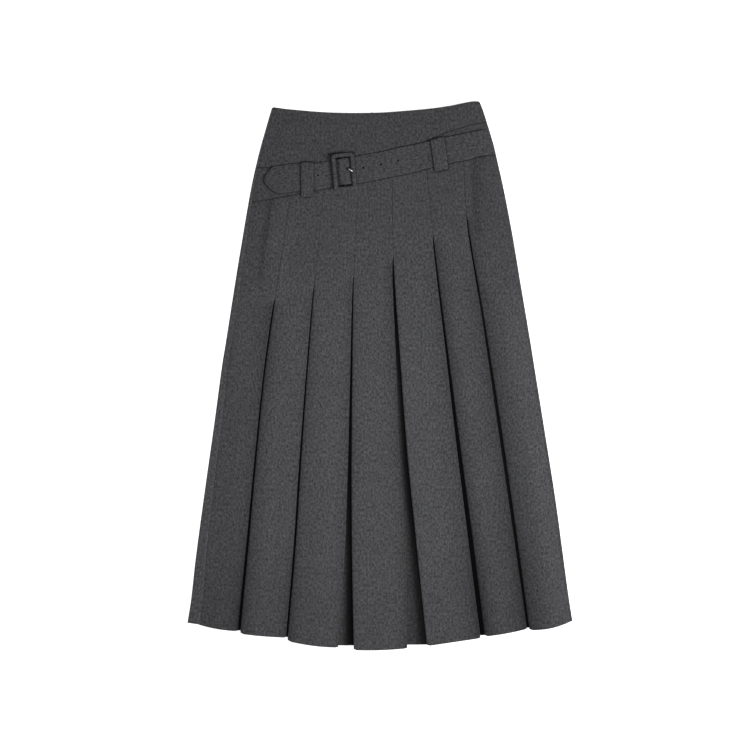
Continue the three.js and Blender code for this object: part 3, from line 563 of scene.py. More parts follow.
def dark_plastic(name, slot, colour):
    m = Nodes(name, slot)
    pos = m.add("ShaderNodeTexCoord").outputs["Object"]
    fine = m.noise(pos, 1200.0, 2.0, 0.5)
    m.link(m.scaled_colour(colour, m.ramp(fine, 0.3, 0.7, 0.8, 1.25)), m.bsdf.inputs["Base Color"])
    m.link(m.ramp(fine, 0.3, 0.7, 0.45, 0.7), m.bsdf.inputs["Roughness"])
    return m.mat


FLANNEL = (0.0505, 0.0505, 0.0535)
wool = flannel("wool_flannel", "flannel", FLANNEL)
# painted shade: the yoke and hip band, and the belt with its loops, buckle and tab, are the same flannel as the panels,
# coloured darker for the less light that reaches them
wool_painted_shade_yoke = flannel("wool_flannel_painted_shade_yoke", "flannel", tuple(0.85 * c for c in FLANNEL))
wool_painted_shade_belt = flannel("wool_flannel_painted_shade_belt", "flannel_belt", tuple(0.87 * c for c in FLANNEL), grain=1.05)
nickel = metal("nickel", "prong_metal", (0.8, 0.8, 0.78))
zip_black = dark_plastic("zip_black", "zip", (0.05, 0.05, 0.052))


def dress(o, material, slot_name, *nodes):
    o.data.materials.append(material)
    if nodes:
        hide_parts(*nodes)
    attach(o, "root")
    return o


# ------------------------------------------------------------------ camera, light, floor

cam = bpy.data.objects.new("camera", bpy.data.cameras.new("camera"))
bpy.context.scene.collection.objects.link(cam)
bpy.context.scene.camera = cam
VIEW_WIDTH, CAMERA_UP = 1.3125, 5.2
cam.data.sensor_width = 36
cam.data.lens = 36 * CAMERA_UP / VIEW_WIDTH
cam.location = (-0.0096, 0.0013, CAMERA_UP + 0.008)
cam.rotation_euler = (0, 0, 0)
cam.data.clip_start, cam.data.clip_end = 0.1, 60

bpy.context.scene.view_settings.view_transform = "Standard"
bpy.context.scene.view_settings.look = "None"

world = bpy.data.worlds.new("studio")
bpy.context.scene.world = world
world.use_nodes = True
world.node_tree.nodes["Background"].inputs[0].default_value = (1, 1, 1, 1)
world.node_tree.nodes["Background"].inputs[1].default_value = 0.293


def area_light(name, place, target, width, height, watts):
    from mathutils import Vector

    data = bpy.data.lights.new(name, "AREA")
    data.shape, data.size, data.size_y, data.energy = "RECTANGLE", width, height, watts
    o = bpy.data.objects.new(name, data)
    o.location = place
    o.rotation_euler = (Vector(target) - Vector(place)).to_track_quat("-Z", "Y").to_euler()
    bpy.context.scene.collection.objects.link(o)
    return o


area_light("key", (3.0, -0.45, 2.2), (0.05, -0.1, 0), 1.4, 1.4, 134)
top_light = area_light("top", (-0.01, -0.05, 0.86), (-0.01, -0.05, 0), 0.7, 0.7, 4.95)
top_light.visible_camera = False

floor_mesh = bpy.data.meshes.new("floor")
floor_mesh.from_pydata([(-9, -9, -0.0004), (9, -9, -0.0004), (9, 9, -0.0004), (-9, 9, -0.0004)], [], [(0, 1, 2, 3)])
floor = bpy.data.objects.new("floor", floor_mesh)
bpy.context.scene.collection.objects.link(floor)
fm = Nodes("pale_floor", None)
fm.bsdf.inputs["Base Color"].default_value = (0.93, 0.93, 0.93, 1)
fm.bsdf.inputs["Roughness"].default_value = 0.9
fm.bsdf.inputs["Specular IOR Level"].default_value = 0.1
# lit from within, as a light table is
fm.bsdf.inputs["Emission Color"].default_value = (1, 1, 1, 1)
fm.bsdf.inputs["Emission Strength"].default_value = 0.75
floor_mesh.materials.append(fm.mat)

# ------------------------------------------------------------------ back panels


def spaced_rows(n, power=1.0):
    return np.linspace(0, 1, n) ** power


def settle(x_of, top_of, bottom_of, t, start=0.0):
    """The points of a line down the cloth: x follows x_of(y), y goes from top_of(x) to bottom_of(x)."""
    x = np.full_like(t, start) if np.isscalar(start) else start.copy()
    for _ in range(10):
        y = mix(top_of(x), bottom_of(x), t)
        x = x_of(y)
    return x, mix(top_of(x), bottom_of(x), t)


def back_panel(name, side):
    t = spaced_rows(90, 1.15)
    top = lambda x: waist_y(x) - 1.5
    edge = left_edge if side < 0 else right_edge
    wrap = wrap_left if side < 0 else wrap_right
    # pressed flatter where more of it lies forward
    radius = lambda v: mix(1.15, 0.75, smooth((wrap(v) - 3) / 5))
    seam_x = CENTRE_BACK_X + side * SEAM / 2
    columns = []
    for s in np.linspace(0, 1, 46):
        x, y = settle(lambda v: mix(seam_x, edge(v) - side * (0.8 + radius(v)), s), top, back_hem_y, t, side * 200.0)
        columns.append(np.stack([x, y, np.full_like(x, BACK_MID)], -1))
    for a in np.linspace(-90, 90, 9)[1:]:
        r = math.radians(a)
        x, y = settle(lambda v: edge(v) - side * (0.8 + radius(v) * (1 - math.cos(r))), top, back_hem_y, t, side * 200.0)
        columns.append(np.stack([x, y, BACK_MID + radius(y) * (1 + math.sin(r))], -1))
    for s in (0.2, 0.4, 0.6, 0.8, 0.9, 1.0):
        x, y = settle(lambda v: edge(v) - side * mix(0.8 + radius(v), wrap(v), s), top, back_hem_y, t, side * 200.0)
        # the front of the wrap rises to the panel that it is sewn to, and turns into the seam
        columns.append(np.stack([x, y, mix(BACK_MID + 2 * radius(y), EDGE_MID, s) - 0.35 * np.exp(-((wrap(y) * (1 - s) / 1.6) ** 2))], -1))
    p = np.stack(columns, 1)
    # the back's outside is its lower face, so the grid is turned over
    p = p[:, ::-1] if side > 0 else p
    uv = np.stack([np.cumsum(np.concatenate([np.zeros((len(t), 1)), np.linalg.norm(np.diff(p, axis=1), axis=2)], 1), 1), p[..., 1]], -1)
    return shell(name, p, CLOTH - 0.02, uv, rim_steps=2)


back_r = dress(back_panel("cloth_back_right", -1), wool, "flannel", "back_right")
back_l = dress(back_panel("cloth_back_left", 1), wool, "flannel", "back_left")

# ------------------------------------------------------------------ yoke and hip band


def front_piece(name, upper, lower, n_across, n_down, seam_above, seam_below, power=1.0, painted_shade_of=None):
    s = np.linspace(0, 1, n_across)
    s = 0.5 - 0.5 * np.cos(np.pi * mix(s, 0.5 - 0.5 * np.cos(np.pi * s), -0.35))
    rows = []
    for f in np.linspace(0, 1, n_down):
        x = mix(-200.0, 190.0, s)
        for _ in range(12):
            y = mix(upper(x), lower(x), f)
            x = mix(front_left(y), front_right(y), s)
        y = mix(upper(x), lower(x), f)
        rows.append((x, y))
    x, y = np.array([r[0] for r in rows]), np.array([r[1] for r in rows])
    z = front_z(x, y) + creases(x, y) * 0.5 + ripple(x, y, 0.7)
    # the edges turn down into the seams
    down = lambda d, deep, wide: -deep * np.exp(-((d / wide) ** 2))
    z += down(x - front_left(y), 0.35, 1.6) + down(front_right(y) - x, 0.35, 1.6)
    if seam_above:
        z += down(upper(x) - y, 0.75, 1.7)
    else:
        z += down(upper(x) - y, 0.5, 2.5)
    if seam_below:
        z += down(y - lower(x), 0.75, 1.7)
    p = np.stack([x, y, z], -1)
    shade = painted_shade_of(x, y)
    # almost no light comes back out of a seam
    seam = lambda d: 0.62 * np.exp(-((d / 1.25) ** 2)) * (1 - 0.55 * smooth((x - 150) / 25) * (y > 405))
    if seam_above:
        shade = np.maximum(shade, seam(upper(x) - y))
    if seam_below:
        shade = np.maximum(shade, seam(y - lower(x)))
    return shell(name, p, VISIBLE, plain_uv(p), shade=shade, rim_steps=2)


def even_rows(n, near):
    return n


yoke = dress(
    front_piece(
        "cloth_front_yoke", waist_y, lambda x: yoke_seam_y(x) + SEAM / 2, 220, 74, False, True,
        painted_shade_of=lambda x, y: contact(x, y, strap=0.6, loops=0.65, buckle=0.6),
    ),
    wool_painted_shade_yoke, "flannel", "front_yoke",
)


def under_strap(x, y):
    """1 where the belt hides the hip band, so its holes look down into the dark."""
    inside = np.minimum(read(STRAP_EDGES, "x", x, "top") - y, y - read(STRAP_EDGES, "x", x, "bottom"))
    return np.maximum(smooth((inside - 5) / 4) * smooth((x + 195) / 6), contact(x, y, strap=0.6, loops=0.65, buckle=0.6))


band = dress(
    front_piece(
        "cloth_hip_band", lambda x: yoke_seam_y(x) - SEAM / 2, lambda x: pleat_seam_y(x) + SEAM / 2, 300, 46, True, True, painted_shade_of=under_strap
    ),
    wool_painted_shade_yoke, "flannel", "front_hip_band",
)

# ------------------------------------------------------------------ pleated panel


def open_fraction(p, y):
    return clamp01((p["tip_y"] - y) / (p["tip_y"] - p["hem"]))


def fold_x(p, y):
    length = p["tip_y"] - p["hem"]
    k = [p["hem"], p["tip_y"] - length * 0.75, p["tip_y"] - length * 0.5, p["tip_y"] - length * 0.25, p["tip_y"], float(pleat_seam_y(np.array(float(p["seam_x"]))))]
    return hermite(k, [p["hem_x"], p["x3"], p["x2"], p["x1"], p["tip_x"], p["seam_x"]], y)


def gap_at(p, y):
    f = open_fraction(p, y)
    w = hermite([0, 0.25, 0.5, 0.75, 1], [SEAM, mix(SEAM, p["gap2"], 0.45), p["gap2"], p["gap3"], p["gap_hem"]], f)
    # the stitching ends, and the pleat springs open
    w = w + p["spring"] * (1 - np.exp(-np.maximum(p["tip_y"] - y, 0) / p["over"])) * (1 - smooth(f / 0.55))
    return np.where(y > p["tip_y"], 0.12, np.maximum(w, 0.12))


def sprung(p, y):
    """0 where a pleat is sewn shut, 1 from a little under its tip."""
    return smooth((p["tip_y"] - y) / 16)


def depth_at(p, y):
    top = pleat_seam_y(np.array(float(p["seam_x"])))
    return mix(p["depth_top"], p["depth_hem"], clamp01((top - y) / (top - p["hem"])))


def underlay_z(x, y):
    beside = clamp01((50 - np.abs(x - CENTRE_BACK_X)) / 24)
    along = clamp01((y - (459 - ZIP_LENGTH - 30)) / 25)
    return CLOTH + SEAM + CLOTH / 2 + 0.05 + (ZIP_TAPE + SEAM) * beside * along


T = np.concatenate([
    [0, 0.0014, 0.0028, 0.0045, 0.007, 0.0105], np.linspace(0.0155, 0.15, 17)[:-1], np.linspace(0.15, 0.32, 32)[:-1],
    np.linspace(0.32, 0.984, 66), [0.989, 0.993, 0.9962, 0.9985, 1.0],
])


def down(x_of, hem_y):
    hem = np.full_like(T, hem_y)
    x = x_of(mix(330.0, hem, T))
    for _ in range(10):
        y = mix(pleat_seam_y(x) - SEAM / 2, hem, T)
        x = x_of(y)
    return x, mix(pleat_seam_y(x) - SEAM / 2, hem, T)


FACE_THIN = 0.6  # the visible cloth at a fold that is sewn shut, so that the seam closes


def pleated_panel():
    cols, shade, walls = [], [], []  # each column is (x, y, z) down the cloth

    def put(x, y, z, c, wall=VISIBLE):
        cols.append(np.stack([x, y, z], -1))
        shade.append(np.broadcast_to(np.asarray(c, float), x.shape).copy())
        walls.append(np.broadcast_to(np.asarray(wall, float), x.shape).copy())

    # at a fold: the cloth's thickness there, and how far the pressed fold reaches sideways
    # from where the layers part
    fold_wall = lambda p, y: mix(FACE_THIN, VISIBLE, sprung(p, y))
    fold_reach = lambda p, y: mix(0.1, 0.62, sprung(p, y))
    right_of = lambda p: lambda v: fold_x(p, v) + fold_wall(p, v) / 2 + fold_reach(p, v)
    left_of = lambda p: lambda v: fold_x(p, v) - gap_at(p, v) - fold_wall(p, v) / 2 - fold_reach(p, v)

    def rolled(p, y, d, deep, width):
        """How far the face sinks towards the mouth of a pleat, at a distance d from it."""
        return p[deep] * smooth(open_fraction(p, y) * 4) * np.maximum(1 - d / p[width], 0) ** 2

    def shaded(p, y, d, depth, width):
        grow = smooth((open_fraction(p, y) - 0.62) / 0.34) * p["late"]
        begun = mix(1.0, smooth(open_fraction(p, y) * 4), p["slow"] * (depth == "shade_left"))
        return p[depth] * sprung(p, y) * begun * (1 + grow) * np.exp(-np.maximum(d, 0) / (p[width] * (1 + 0.6 * grow)))

    def panel_hem(k, x):
        """Where panel k ends at the hem, at x."""
        hem, y = PANELS[k], np.array([PANELS[k]["middle"]])
        a = fold_x(PLEATS[k - 1], y)[0] if k else front_left(y)[0]
        b = (fold_x(PLEATS[k], y) - gap_at(PLEATS[k], y))[0] if k < len(PLEATS) else front_right(y)[0]
        return hem_at(hem, float(clamp01((x - a) / (b - a))))

    hem_at = lambda hem, s: mix(mix(hem["left"], hem["middle"], s), mix(hem["middle"], hem["right"], s), s) + (hem["middle"] - (hem["left"] + hem["right"]) / 2) * 2 * s * (1 - s)

    for k, hem in enumerate(PANELS):
        before = PLEATS[k - 1] if k else None
        after = PLEATS[k] if k < len(PLEATS) else None
        start = right_of(before) if before else front_left
        end = left_of(after) if after else front_right
        n = 24 if before and after else 30
        even = np.linspace(0, 1, n)
        ss = mix(0.5 - 0.5 * np.cos(np.pi * even), even, 0.3)
        width = end(np.array([hem["middle"]]))[0] - start(np.array([hem["middle"]]))[0]
        for s in ss:
            hem_y = hem_at(hem, s)
            if before:
                hem_y += 1.6 * math.exp(-((s * width / 2.6) ** 2))  # small rounded corners
            if after:
                hem_y += 0.7 * math.exp(-(((1 - s) * width / 2.2) ** 2))
            x, y = down(lambda v: mix(start(v), end(v), s), hem_y)
            f_before = open_fraction(before, y) if before else 0
            f_after = open_fraction(after, y) if after else 0
            lift = before["lift"] * f_before * (1 - s) ** 2.5 if before else 0
            drop = after["drop"] * f_after * s**3 if after else 0
            crown = hem["crown"] * (f_before if before else f_after) * math.sin(math.pi * s) ** 2
            z = front_z(x, y) + lift - drop + crown + creases(x, y) + ripple(x, y, k * 1.7)
            # a seam turns down at the top and at the sides, and the fold edges are pressed
            z = z - 0.75 * np.exp(-(((pleat_seam_y(x) - y) / 1.8) ** 2))
            # painted shade beside what lies on the cloth, along its dents and along the seam at its top
            c, wall = np.maximum(contact(x, y, strap=0.6, loops=0.65), dent_shade(x, y)), np.full_like(x, VISIBLE)
            c = np.maximum(c, 0.62 * np.exp(-(((pleat_seam_y(x) - y) / 1.25) ** 2)))
            # painted shade: darker towards the hem on all but the leftmost panel, and darker towards the waist, more so
            # past x = 160, where less light falls
            c = np.maximum(c, 0.06 * smooth((-280 - y) / 140) * (k > 0))
            c = np.maximum(c, (0.085 + 0.07 * smooth((x - 160) / 12)) * smooth((y - 80) / 120) + 0.045 * smooth((y - 230) / 60))
            if before:
                d = x - start(y)
                z = z - rolled(before, y, d, "roll_right", "width_right") - mix(0.04, 0.28, sprung(before, y)) * np.exp(-((d / 1.6) ** 2))
                c = np.maximum(c, shaded(before, y, d, "shade_right", "reach_right"))
                wall = wall - (VISIBLE - fold_wall(before, y)) * np.exp(-((d / 2.5) ** 2))
            else:
                z = z - 0.35 * np.exp(-(((x - front_left(y)) / 1.6) ** 2))
            if after:
                d = end(y) - x
                z = z - rolled(after, y, d, "roll_left", "width_left") - mix(0.04, 0.28, sprung(after, y)) * np.exp(-((d / 1.6) ** 2))
                c = np.maximum(c, shaded(after, y, d, "shade_left", "reach_left"))
                wall = wall - (VISIBLE - fold_wall(after, y)) * np.exp(-((d / 2.5) ** 2))
            else:
                z = z - 0.35 * np.exp(-(((front_right(y) - x) / 1.6) ** 2))
            # where the wall thins its outer face stays where it is
            z = z + (VISIBLE - wall) / 2
            # the hem edge turns under
            z = z - 0.35 * np.exp(-(((y - hem_y) / 2.2) ** 2))
            put(x, y, z, c, wall)
        if after is None:
            break
        nxt = PANELS[k + 1]
        op = lambda y: open_fraction(after, y)
        fold_end = end  # where the face stops and turns under
        in_left = lambda v: fold_x(after, v) - gap_at(after, v) - depth_at(after, v)
        in_right = lambda v: fold_x(after, v) + depth_at(after, v)
        next_start = right_of(after)
        face = cols[-1]
        fx, fy, fz = face[:, 0], face[:, 1], face[:, 2]
        r = LAYER / 2
        # turn under at the -X fold edge, with painted shade deepening round it
        for a in (52, 0, -52):
            ang = math.radians(a)
            y = fy + mix(0, 0.6, (52 - a) / 104)
            edge_c = {52: shade[-1] if a == 52 else 0, 0: 0.6, -52: 1.0}[a]
            put(fold_end(y) + fold_reach(after, y) * math.cos(ang), np.minimum(y, fy + 1.0), fz - r + r * math.sin(ang), edge_c, fold_wall(after, y))
        # back under the panel to the inner fold, round it, painted fully dark
        # the inner folds end above the hems of the panels that hide them
        end_y = np.array([after["hem"]])
        hem_left = max(after["hem"], panel_hem(k, in_left(end_y)[0]) + 1.4)
        hem_right = max(after["hem"], panel_hem(k + 1, in_right(end_y)[0]) + 1.4)
        xl, yl = down(in_left, hem_left)
        zl = underlay_z(xl, yl) + (after["floor"] - 3.2) * 0.5 * op(yl)
        xr0, yr0 = down(fold_end, hem["right"] + 1)
        z_ret = fz - LAYER
        for s in (0.0, 0.3, 0.62, 1.0):
            x, y = mix(xr0, xl, s), mix(yr0, yl, s)
            put(x, y, mix(z_ret, zl + LAYER, s) - 0.35 * math.sin(math.pi * s), 1.0)
        put(xl - 0.62, yl, zl + r, 1.0)
        # the underlay, from one inner fold to the other
        xe, ye = down(fold_end, after["hem"])
        xg, yg = down(lambda v: fold_x(after, v) - gap_at(after, v) * 0.45, after["hem"])
        xn, yn = down(next_start, after["hem"])
        xi, yi = down(in_right, hem_right)
        knots_x = np.stack([xl, xe, xg, xn, xi], -1)
        # keep the knots apart where the pleat is sewn shut
        knots_x[:, 2] = np.maximum(knots_x[:, 2], knots_x[:, 1] + 0.4)
        knots_x[:, 3] = np.maximum(knots_x[:, 3], knots_x[:, 2] + 0.4)
        knots_z = np.stack([
            zl,
            mix(underlay_z(xe, ye), after["floor"], op(ye)),
            mix(underlay_z(xg, yg), mix(3, after["floor"], 0.72), op(yg)),
            mix(underlay_z(xn, yn), 3.0, op(yn)),
            underlay_z(xi, yi),
        ], -1)
        knots_y = np.stack([yl, ye, yg, yn, yi], -1)
        # painted shade on the underlay: fully dark at its inner folds and all across a narrow pleat
        wide = after["floor"] > 4
        stops = [0, 0.5, 0.9, 1.05, 1.25, 1.5, 1.75, 2, 2.25, 2.5, 2.75, 2.95, 3.4, 4] if wide else [0, 0.5, 1, 1.5, 2, 2.5, 3, 3.5, 4]
        for q in stops:
            i = min(int(q), 3)
            x = mix(knots_x[:, i], knots_x[:, i + 1], q - i)
            y = mix(knots_y[:, i], knots_y[:, i + 1], q - i)
            z = np.array([hermite(knots_x[j], knots_z[j], x[j]) for j in range(len(T))])
            if wide:
                # the light fades across the open pleat towards the proud fold edge
                part = clamp01((x - fold_x(after, y) + gap_at(after, y)) / gap_at(after, y))
                low = smooth((op(y) - 0.6) / 0.3)
                c = mix(after["open_shade"], mix(1.0, after["hem_shade"], low), 1 - (1 - part) ** mix(2.0, after["hem_fall"], low))
                c = mix(c, 1.0, 1 - smooth((op(y) - after["shows"]) / after["over_open"]))
                if q < 1 or q > 3:
                    c = np.ones_like(x)
            else:
                c = 1.0
            put(x, y, z, c)
        # round the other inner fold, back to the next panel's fold edge, painted fully dark, and up round that edge
        # with painted shade that lessens
        put(xi + 0.62, yi, knots_z[:, 4] + r, 1.0)
        nx, ny = down(next_start, nxt["left"] + 1.9)
        nwall = fold_wall(after, ny)
        nz = front_z(nx, ny) + after["lift"] * op(ny) + creases(nx, ny) + ripple(nx, ny, (k + 1) * 1.7)
        nz = nz - rolled(after, ny, np.zeros_like(nx), "roll_right", "width_right") - mix(0.04, 0.28, sprung(after, ny)) + (VISIBLE - nwall) / 2
        nz = nz - 0.75 * np.exp(-(((pleat_seam_y(nx) - ny) / 1.8) ** 2)) - 0.35 * np.exp(-(((ny - nxt["left"] - 1.9) / 2.2) ** 2))
        for s in (0.0, 0.38, 0.7, 1.0):
            x, y = mix(xi, nx, s), mix(yi, ny + 0.6, s)
            put(x, y, mix(knots_z[:, 4] + LAYER, nz - LAYER, s) - 0.35 * math.sin(math.pi * s), 1.0)
        for a in (-52, 0, 52):
            ang = math.radians(a)
            edge_c = {-52: 1.0, 0: 0.6, 52: after["shade_right"] * sprung(after, ny)}[a]
            put(nx - fold_reach(after, ny) * math.cos(ang), ny + mix(0.6, 0, (a + 52) / 104), nz - r + r * math.sin(ang), edge_c, nwall)
    p = np.stack(cols, 1)
    c = np.stack(shade, 1)
    u = np.cumsum(np.concatenate([np.zeros((len(T), 1)), np.linalg.norm(np.diff(p, axis=1), axis=2)], 1), 1)
    u -= u[:, u.shape[1] // 2][:, None]
    uv = np.stack([u, p[..., 1]], -1)
    print("pleated panel", p.shape, "triangles", p.shape[0] * p.shape[1] * 4)
    return shell("cloth_front_pleated", p, VISIBLE, uv, shade=c, shade_under=np.zeros_like(c), rim_steps=1, thick_of=np.stack(walls, 1))


pleated = dress(pleated_panel(), wool, "flannel", "front_pleated_panel")

# ------------------------------------------------------------------ belt

top_z = lambda x, y: front_z(x, y) + CLOTH / 2


def strap_rise(x, y):
    a = BUCKLE["turn"]
    off = (x - BUCKLE["x"]) * math.cos(a) + (y - BUCKLE["y"]) * math.sin(a)
    return STRAP_OVER_BAR * (1 - smooth((np.abs(off) - 5.5) / 6.8))


strap_mid = lambda x, y: top_z(x, y) + SEAM + STRAP / 2 + strap_rise(x, y)


def belt_strap():
    stations = np.concatenate([
        np.linspace(-203.6, -180, 20)[:-1], np.linspace(-180, -92, 46)[:-1], np.linspace(-92, -36, 60)[:-1], np.linspace(-36, 190, 110),
    ])
    rim = 0.8  # the rounded edge stands out this far
    turned = np.exp(-(((stations - BUCKLE["x"]) / 26) ** 6))
    last = smooth((stations - 178) / 12)
    vs = 0.5 - 0.5 * np.cos(np.pi * np.linspace(0, 1, 27))
    vs = mix(vs, np.linspace(0, 1, 27), 0.4)
    xs, ys = [], []
    for v in vs:
        x = stations.copy()
        for _ in range(8):
            y = mix(read(STRAP_EDGES, "x", x, "top") - rim, read(STRAP_EDGES, "x", x, "bottom") + rim, v)
            x = stations - (y - BUCKLE["y"]) * math.tan(BUCKLE["turn"]) * turned
            x = mix(x, front_right(y) - 0.2 - (190 - stations), last)
        xs.append(x)
        ys.append(mix(read(STRAP_EDGES, "x", x, "top") - rim, read(STRAP_EDGES, "x", x, "bottom") + rim, v))
    x, y = np.array(xs), np.array(ys)
    edge = np.minimum(np.array(vs), 1 - np.array(vs))[:, None] * (read(STRAP_EDGES, "x", x, "top") - read(STRAP_EDGES, "x", x, "bottom"))
    z = strap_mid(x, y)
    # slack between what holds it
    z = z + 0.22 * np.sin((x + 200) * 0.045) * smooth(edge / 10) * (1 - turned) + 0.12 * ripple(x, y, 2.2)
    thick = STRAP - 0.15 - 0.55 * np.exp(-((edge / 1.6) ** 2)) + 0.15 * np.exp(-(((edge - 3.2) / 1.4) ** 2))
    tip = np.clip(x + 203.6, 0, 99)
    thick = thick - 0.4 * np.exp(-((tip / 1.6) ** 2))
    p = np.stack([x, y, z], -1)
    slope = math.radians(10)
    uv = np.stack([x * math.cos(slope) + y * math.sin(slope), y * math.cos(slope) - x * math.sin(slope)], -1)[..., ::-1]
    c = contact(x, y, loops=0.68, buckle=0.0)
    # painted shade beside the buckle's bars, inside its window and outside it
    a = BUCKLE["turn"]
    u = (x - BUCKLE["x"]) * math.cos(a) + (y - BUCKLE["y"]) * math.sin(a)
    v = (y - BUCKLE["y"]) * math.cos(a) - (x - BUCKLE["x"]) * math.sin(a)
    w, h = BUCKLE["width"] / 2, BUCKLE["height"] / 2
    inside = np.where(u > 0, 0.5, 0.2) * np.exp(-((np.maximum(w - BUCKLE["side"] - np.abs(u), 0) / 1.4) ** 2))
    inside = np.maximum(inside, 0.6 * np.exp(-((h - BUCKLE["end"] - v) / 4) ** 2 - ((w - BUCKLE["side"] - np.abs(u)) / 4) ** 2))
    c = np.maximum(c, inside * (np.abs(u) < w))
    c = np.maximum(c, 0.6 * np.exp(-(((np.abs(u) - w) / np.where(u < 0, 3.4, 1.3)) ** 2)) * (np.abs(u) >= w - 2))
    o = shell("cloth_belt_strap", p, STRAP, uv, shade=c, rim_steps=3, thick_of=thick)
    for i, (hx, hy, radius) in enumerate(STRAP_HOLES):
        a = np.linspace(0, 2 * np.pi, 25)[:-1]
        hz = float(strap_mid(np.array(float(hx)), np.array(float(hy))))
        ring = np.stack([hx + radius * np.cos(a), hy + radius * np.sin(a)], -1)
        pts = np.concatenate([np.column_stack([ring, np.full(24, hz - 5)]), np.column_stack([ring, np.full(24, hz + 5)])])
        faces = [list(range(23, -1, -1)), list(range(24, 48))] + [[j, (j + 1) % 24, 24 + (j + 1) % 24, 24 + j] for j in range(24)]
        # painted shade for the walls of the holes, carried by the cutter
        cutter = mesh_object(f"cut_{i}", pts, faces, uvs=pts[:, :2], shade=np.full(48, 0.85))
        for f in cutter.data.polygons:
            f.use_smooth = False
        mod = o.modifiers.new("hole", "BOOLEAN")
        mod.operation, mod.solver, mod.object = "DIFFERENCE", "EXACT", cutter
        made = bpy.data.meshes.new_from_object(o.evaluated_get(bpy.context.evaluated_depsgraph_get()))
        o.modifiers.clear()
        old = o.data
        o.data = made
        bpy.data.meshes.remove(old)
        cut = cutter.data
        bpy.data.objects.remove(cutter)
        bpy.data.meshes.remove(cut)
    o.data.name = "cloth_belt_strap"
    o.data.materials.clear()
    return o


strap = dress(belt_strap(), wool_painted_shade_belt, "flannel_belt", "belt_strap")

# ------------------------------------------------------------------ belt loops


def belt_loop(name, top_left, top_right, bottom_left, bottom_right, foot_left, foot_right):
    half = LOOP_CLOTH / 2
    over = STRAP + 2 * SEAM
    rows = []
    for s in np.linspace(0, 1, 15):
        top_x, bottom_x, foot = mix(top_left, top_right, s), mix(bottom_left, bottom_right, s), mix(foot_left, foot_right, s)
        low = float(read(STRAP_EDGES, "x", np.array(float(bottom_x)), "bottom")) - SEAM - half - 0.3
        high = float(read(STRAP_EDGES, "x", np.array(float(top_x)), "top")) + SEAM + half
        keys = np.array([
            (foot, 0.0), (foot + 2, 0.05), (low - 2.2, 0.1), (low - 0.6, 0.7), (low + 0.1, over * 0.62), (low + 1.6, over + 0.1),
            (low + 6, over + 0.35), (mix(low, high, 0.5), over + 0.6), (high - 6, over + 0.35), (high - 1.4, over), (high - 0.2, over * 0.55), (high, 0.4),
        ])
        # evenly along the strip
        d = np.concatenate([[0], np.cumsum(np.hypot(np.diff(keys[:, 0]), np.diff(keys[:, 1])))])
        at = np.linspace(0, d[-1], 64)
        yy = np.interp(at, d, keys[:, 0])
        zz = np.interp(at, d, keys[:, 1])
        for _ in range(3):  # soften the corners
            zz[1:-1] = (zz[:-2] + 2 * zz[1:-1] + zz[2:]) / 4
            yy[1:-1] = (yy[:-2] + 2 * yy[1:-1] + yy[2:]) / 4
        xx = mix(top_x, bottom_x, (high - yy) / (high - foot))
        base = top_z(xx, yy) + SEAM + half
        rows.append(np.stack([xx, yy, base + zz + 0.25 * np.sin(np.pi * s) * np.sin(np.pi * np.linspace(0, 1, 64))], -1))
    p = np.stack(rows, 1)[::-1]  # rows from the top down
    n = len(p)
    length = np.concatenate([[0], np.cumsum(np.linalg.norm(np.diff(p[:, 7], axis=0), axis=1))])
    uv = np.stack([p[..., 0], np.repeat(-length[:, None], 15, 1)], -1)
    across_w = np.minimum(np.linspace(0, 1, 15), 1 - np.linspace(0, 1, 15)) * 22
    thick = np.repeat((LOOP_CLOTH - 0.1 - 0.4 * np.exp(-((across_w / 1.3) ** 2)))[None], n, 0)
    return shell("cloth_" + name, p, LOOP_CLOTH, uv, rim_steps=3, thick_of=thick)


loops = []
for row in LOOPS:
    loops.append(dress(belt_loop(*row), wool_painted_shade_belt, "flannel_belt", row[0]))

# ------------------------------------------------------------------ buckle


def in_buckle(u, v):
    """A point of the buckle's own frame, from its middle, in the row frame."""
    a = BUCKLE["turn"]
    return BUCKLE["x"] + u * math.cos(a) - v * math.sin(a), BUCKLE["y"] + u * math.sin(a) + v * math.cos(a)


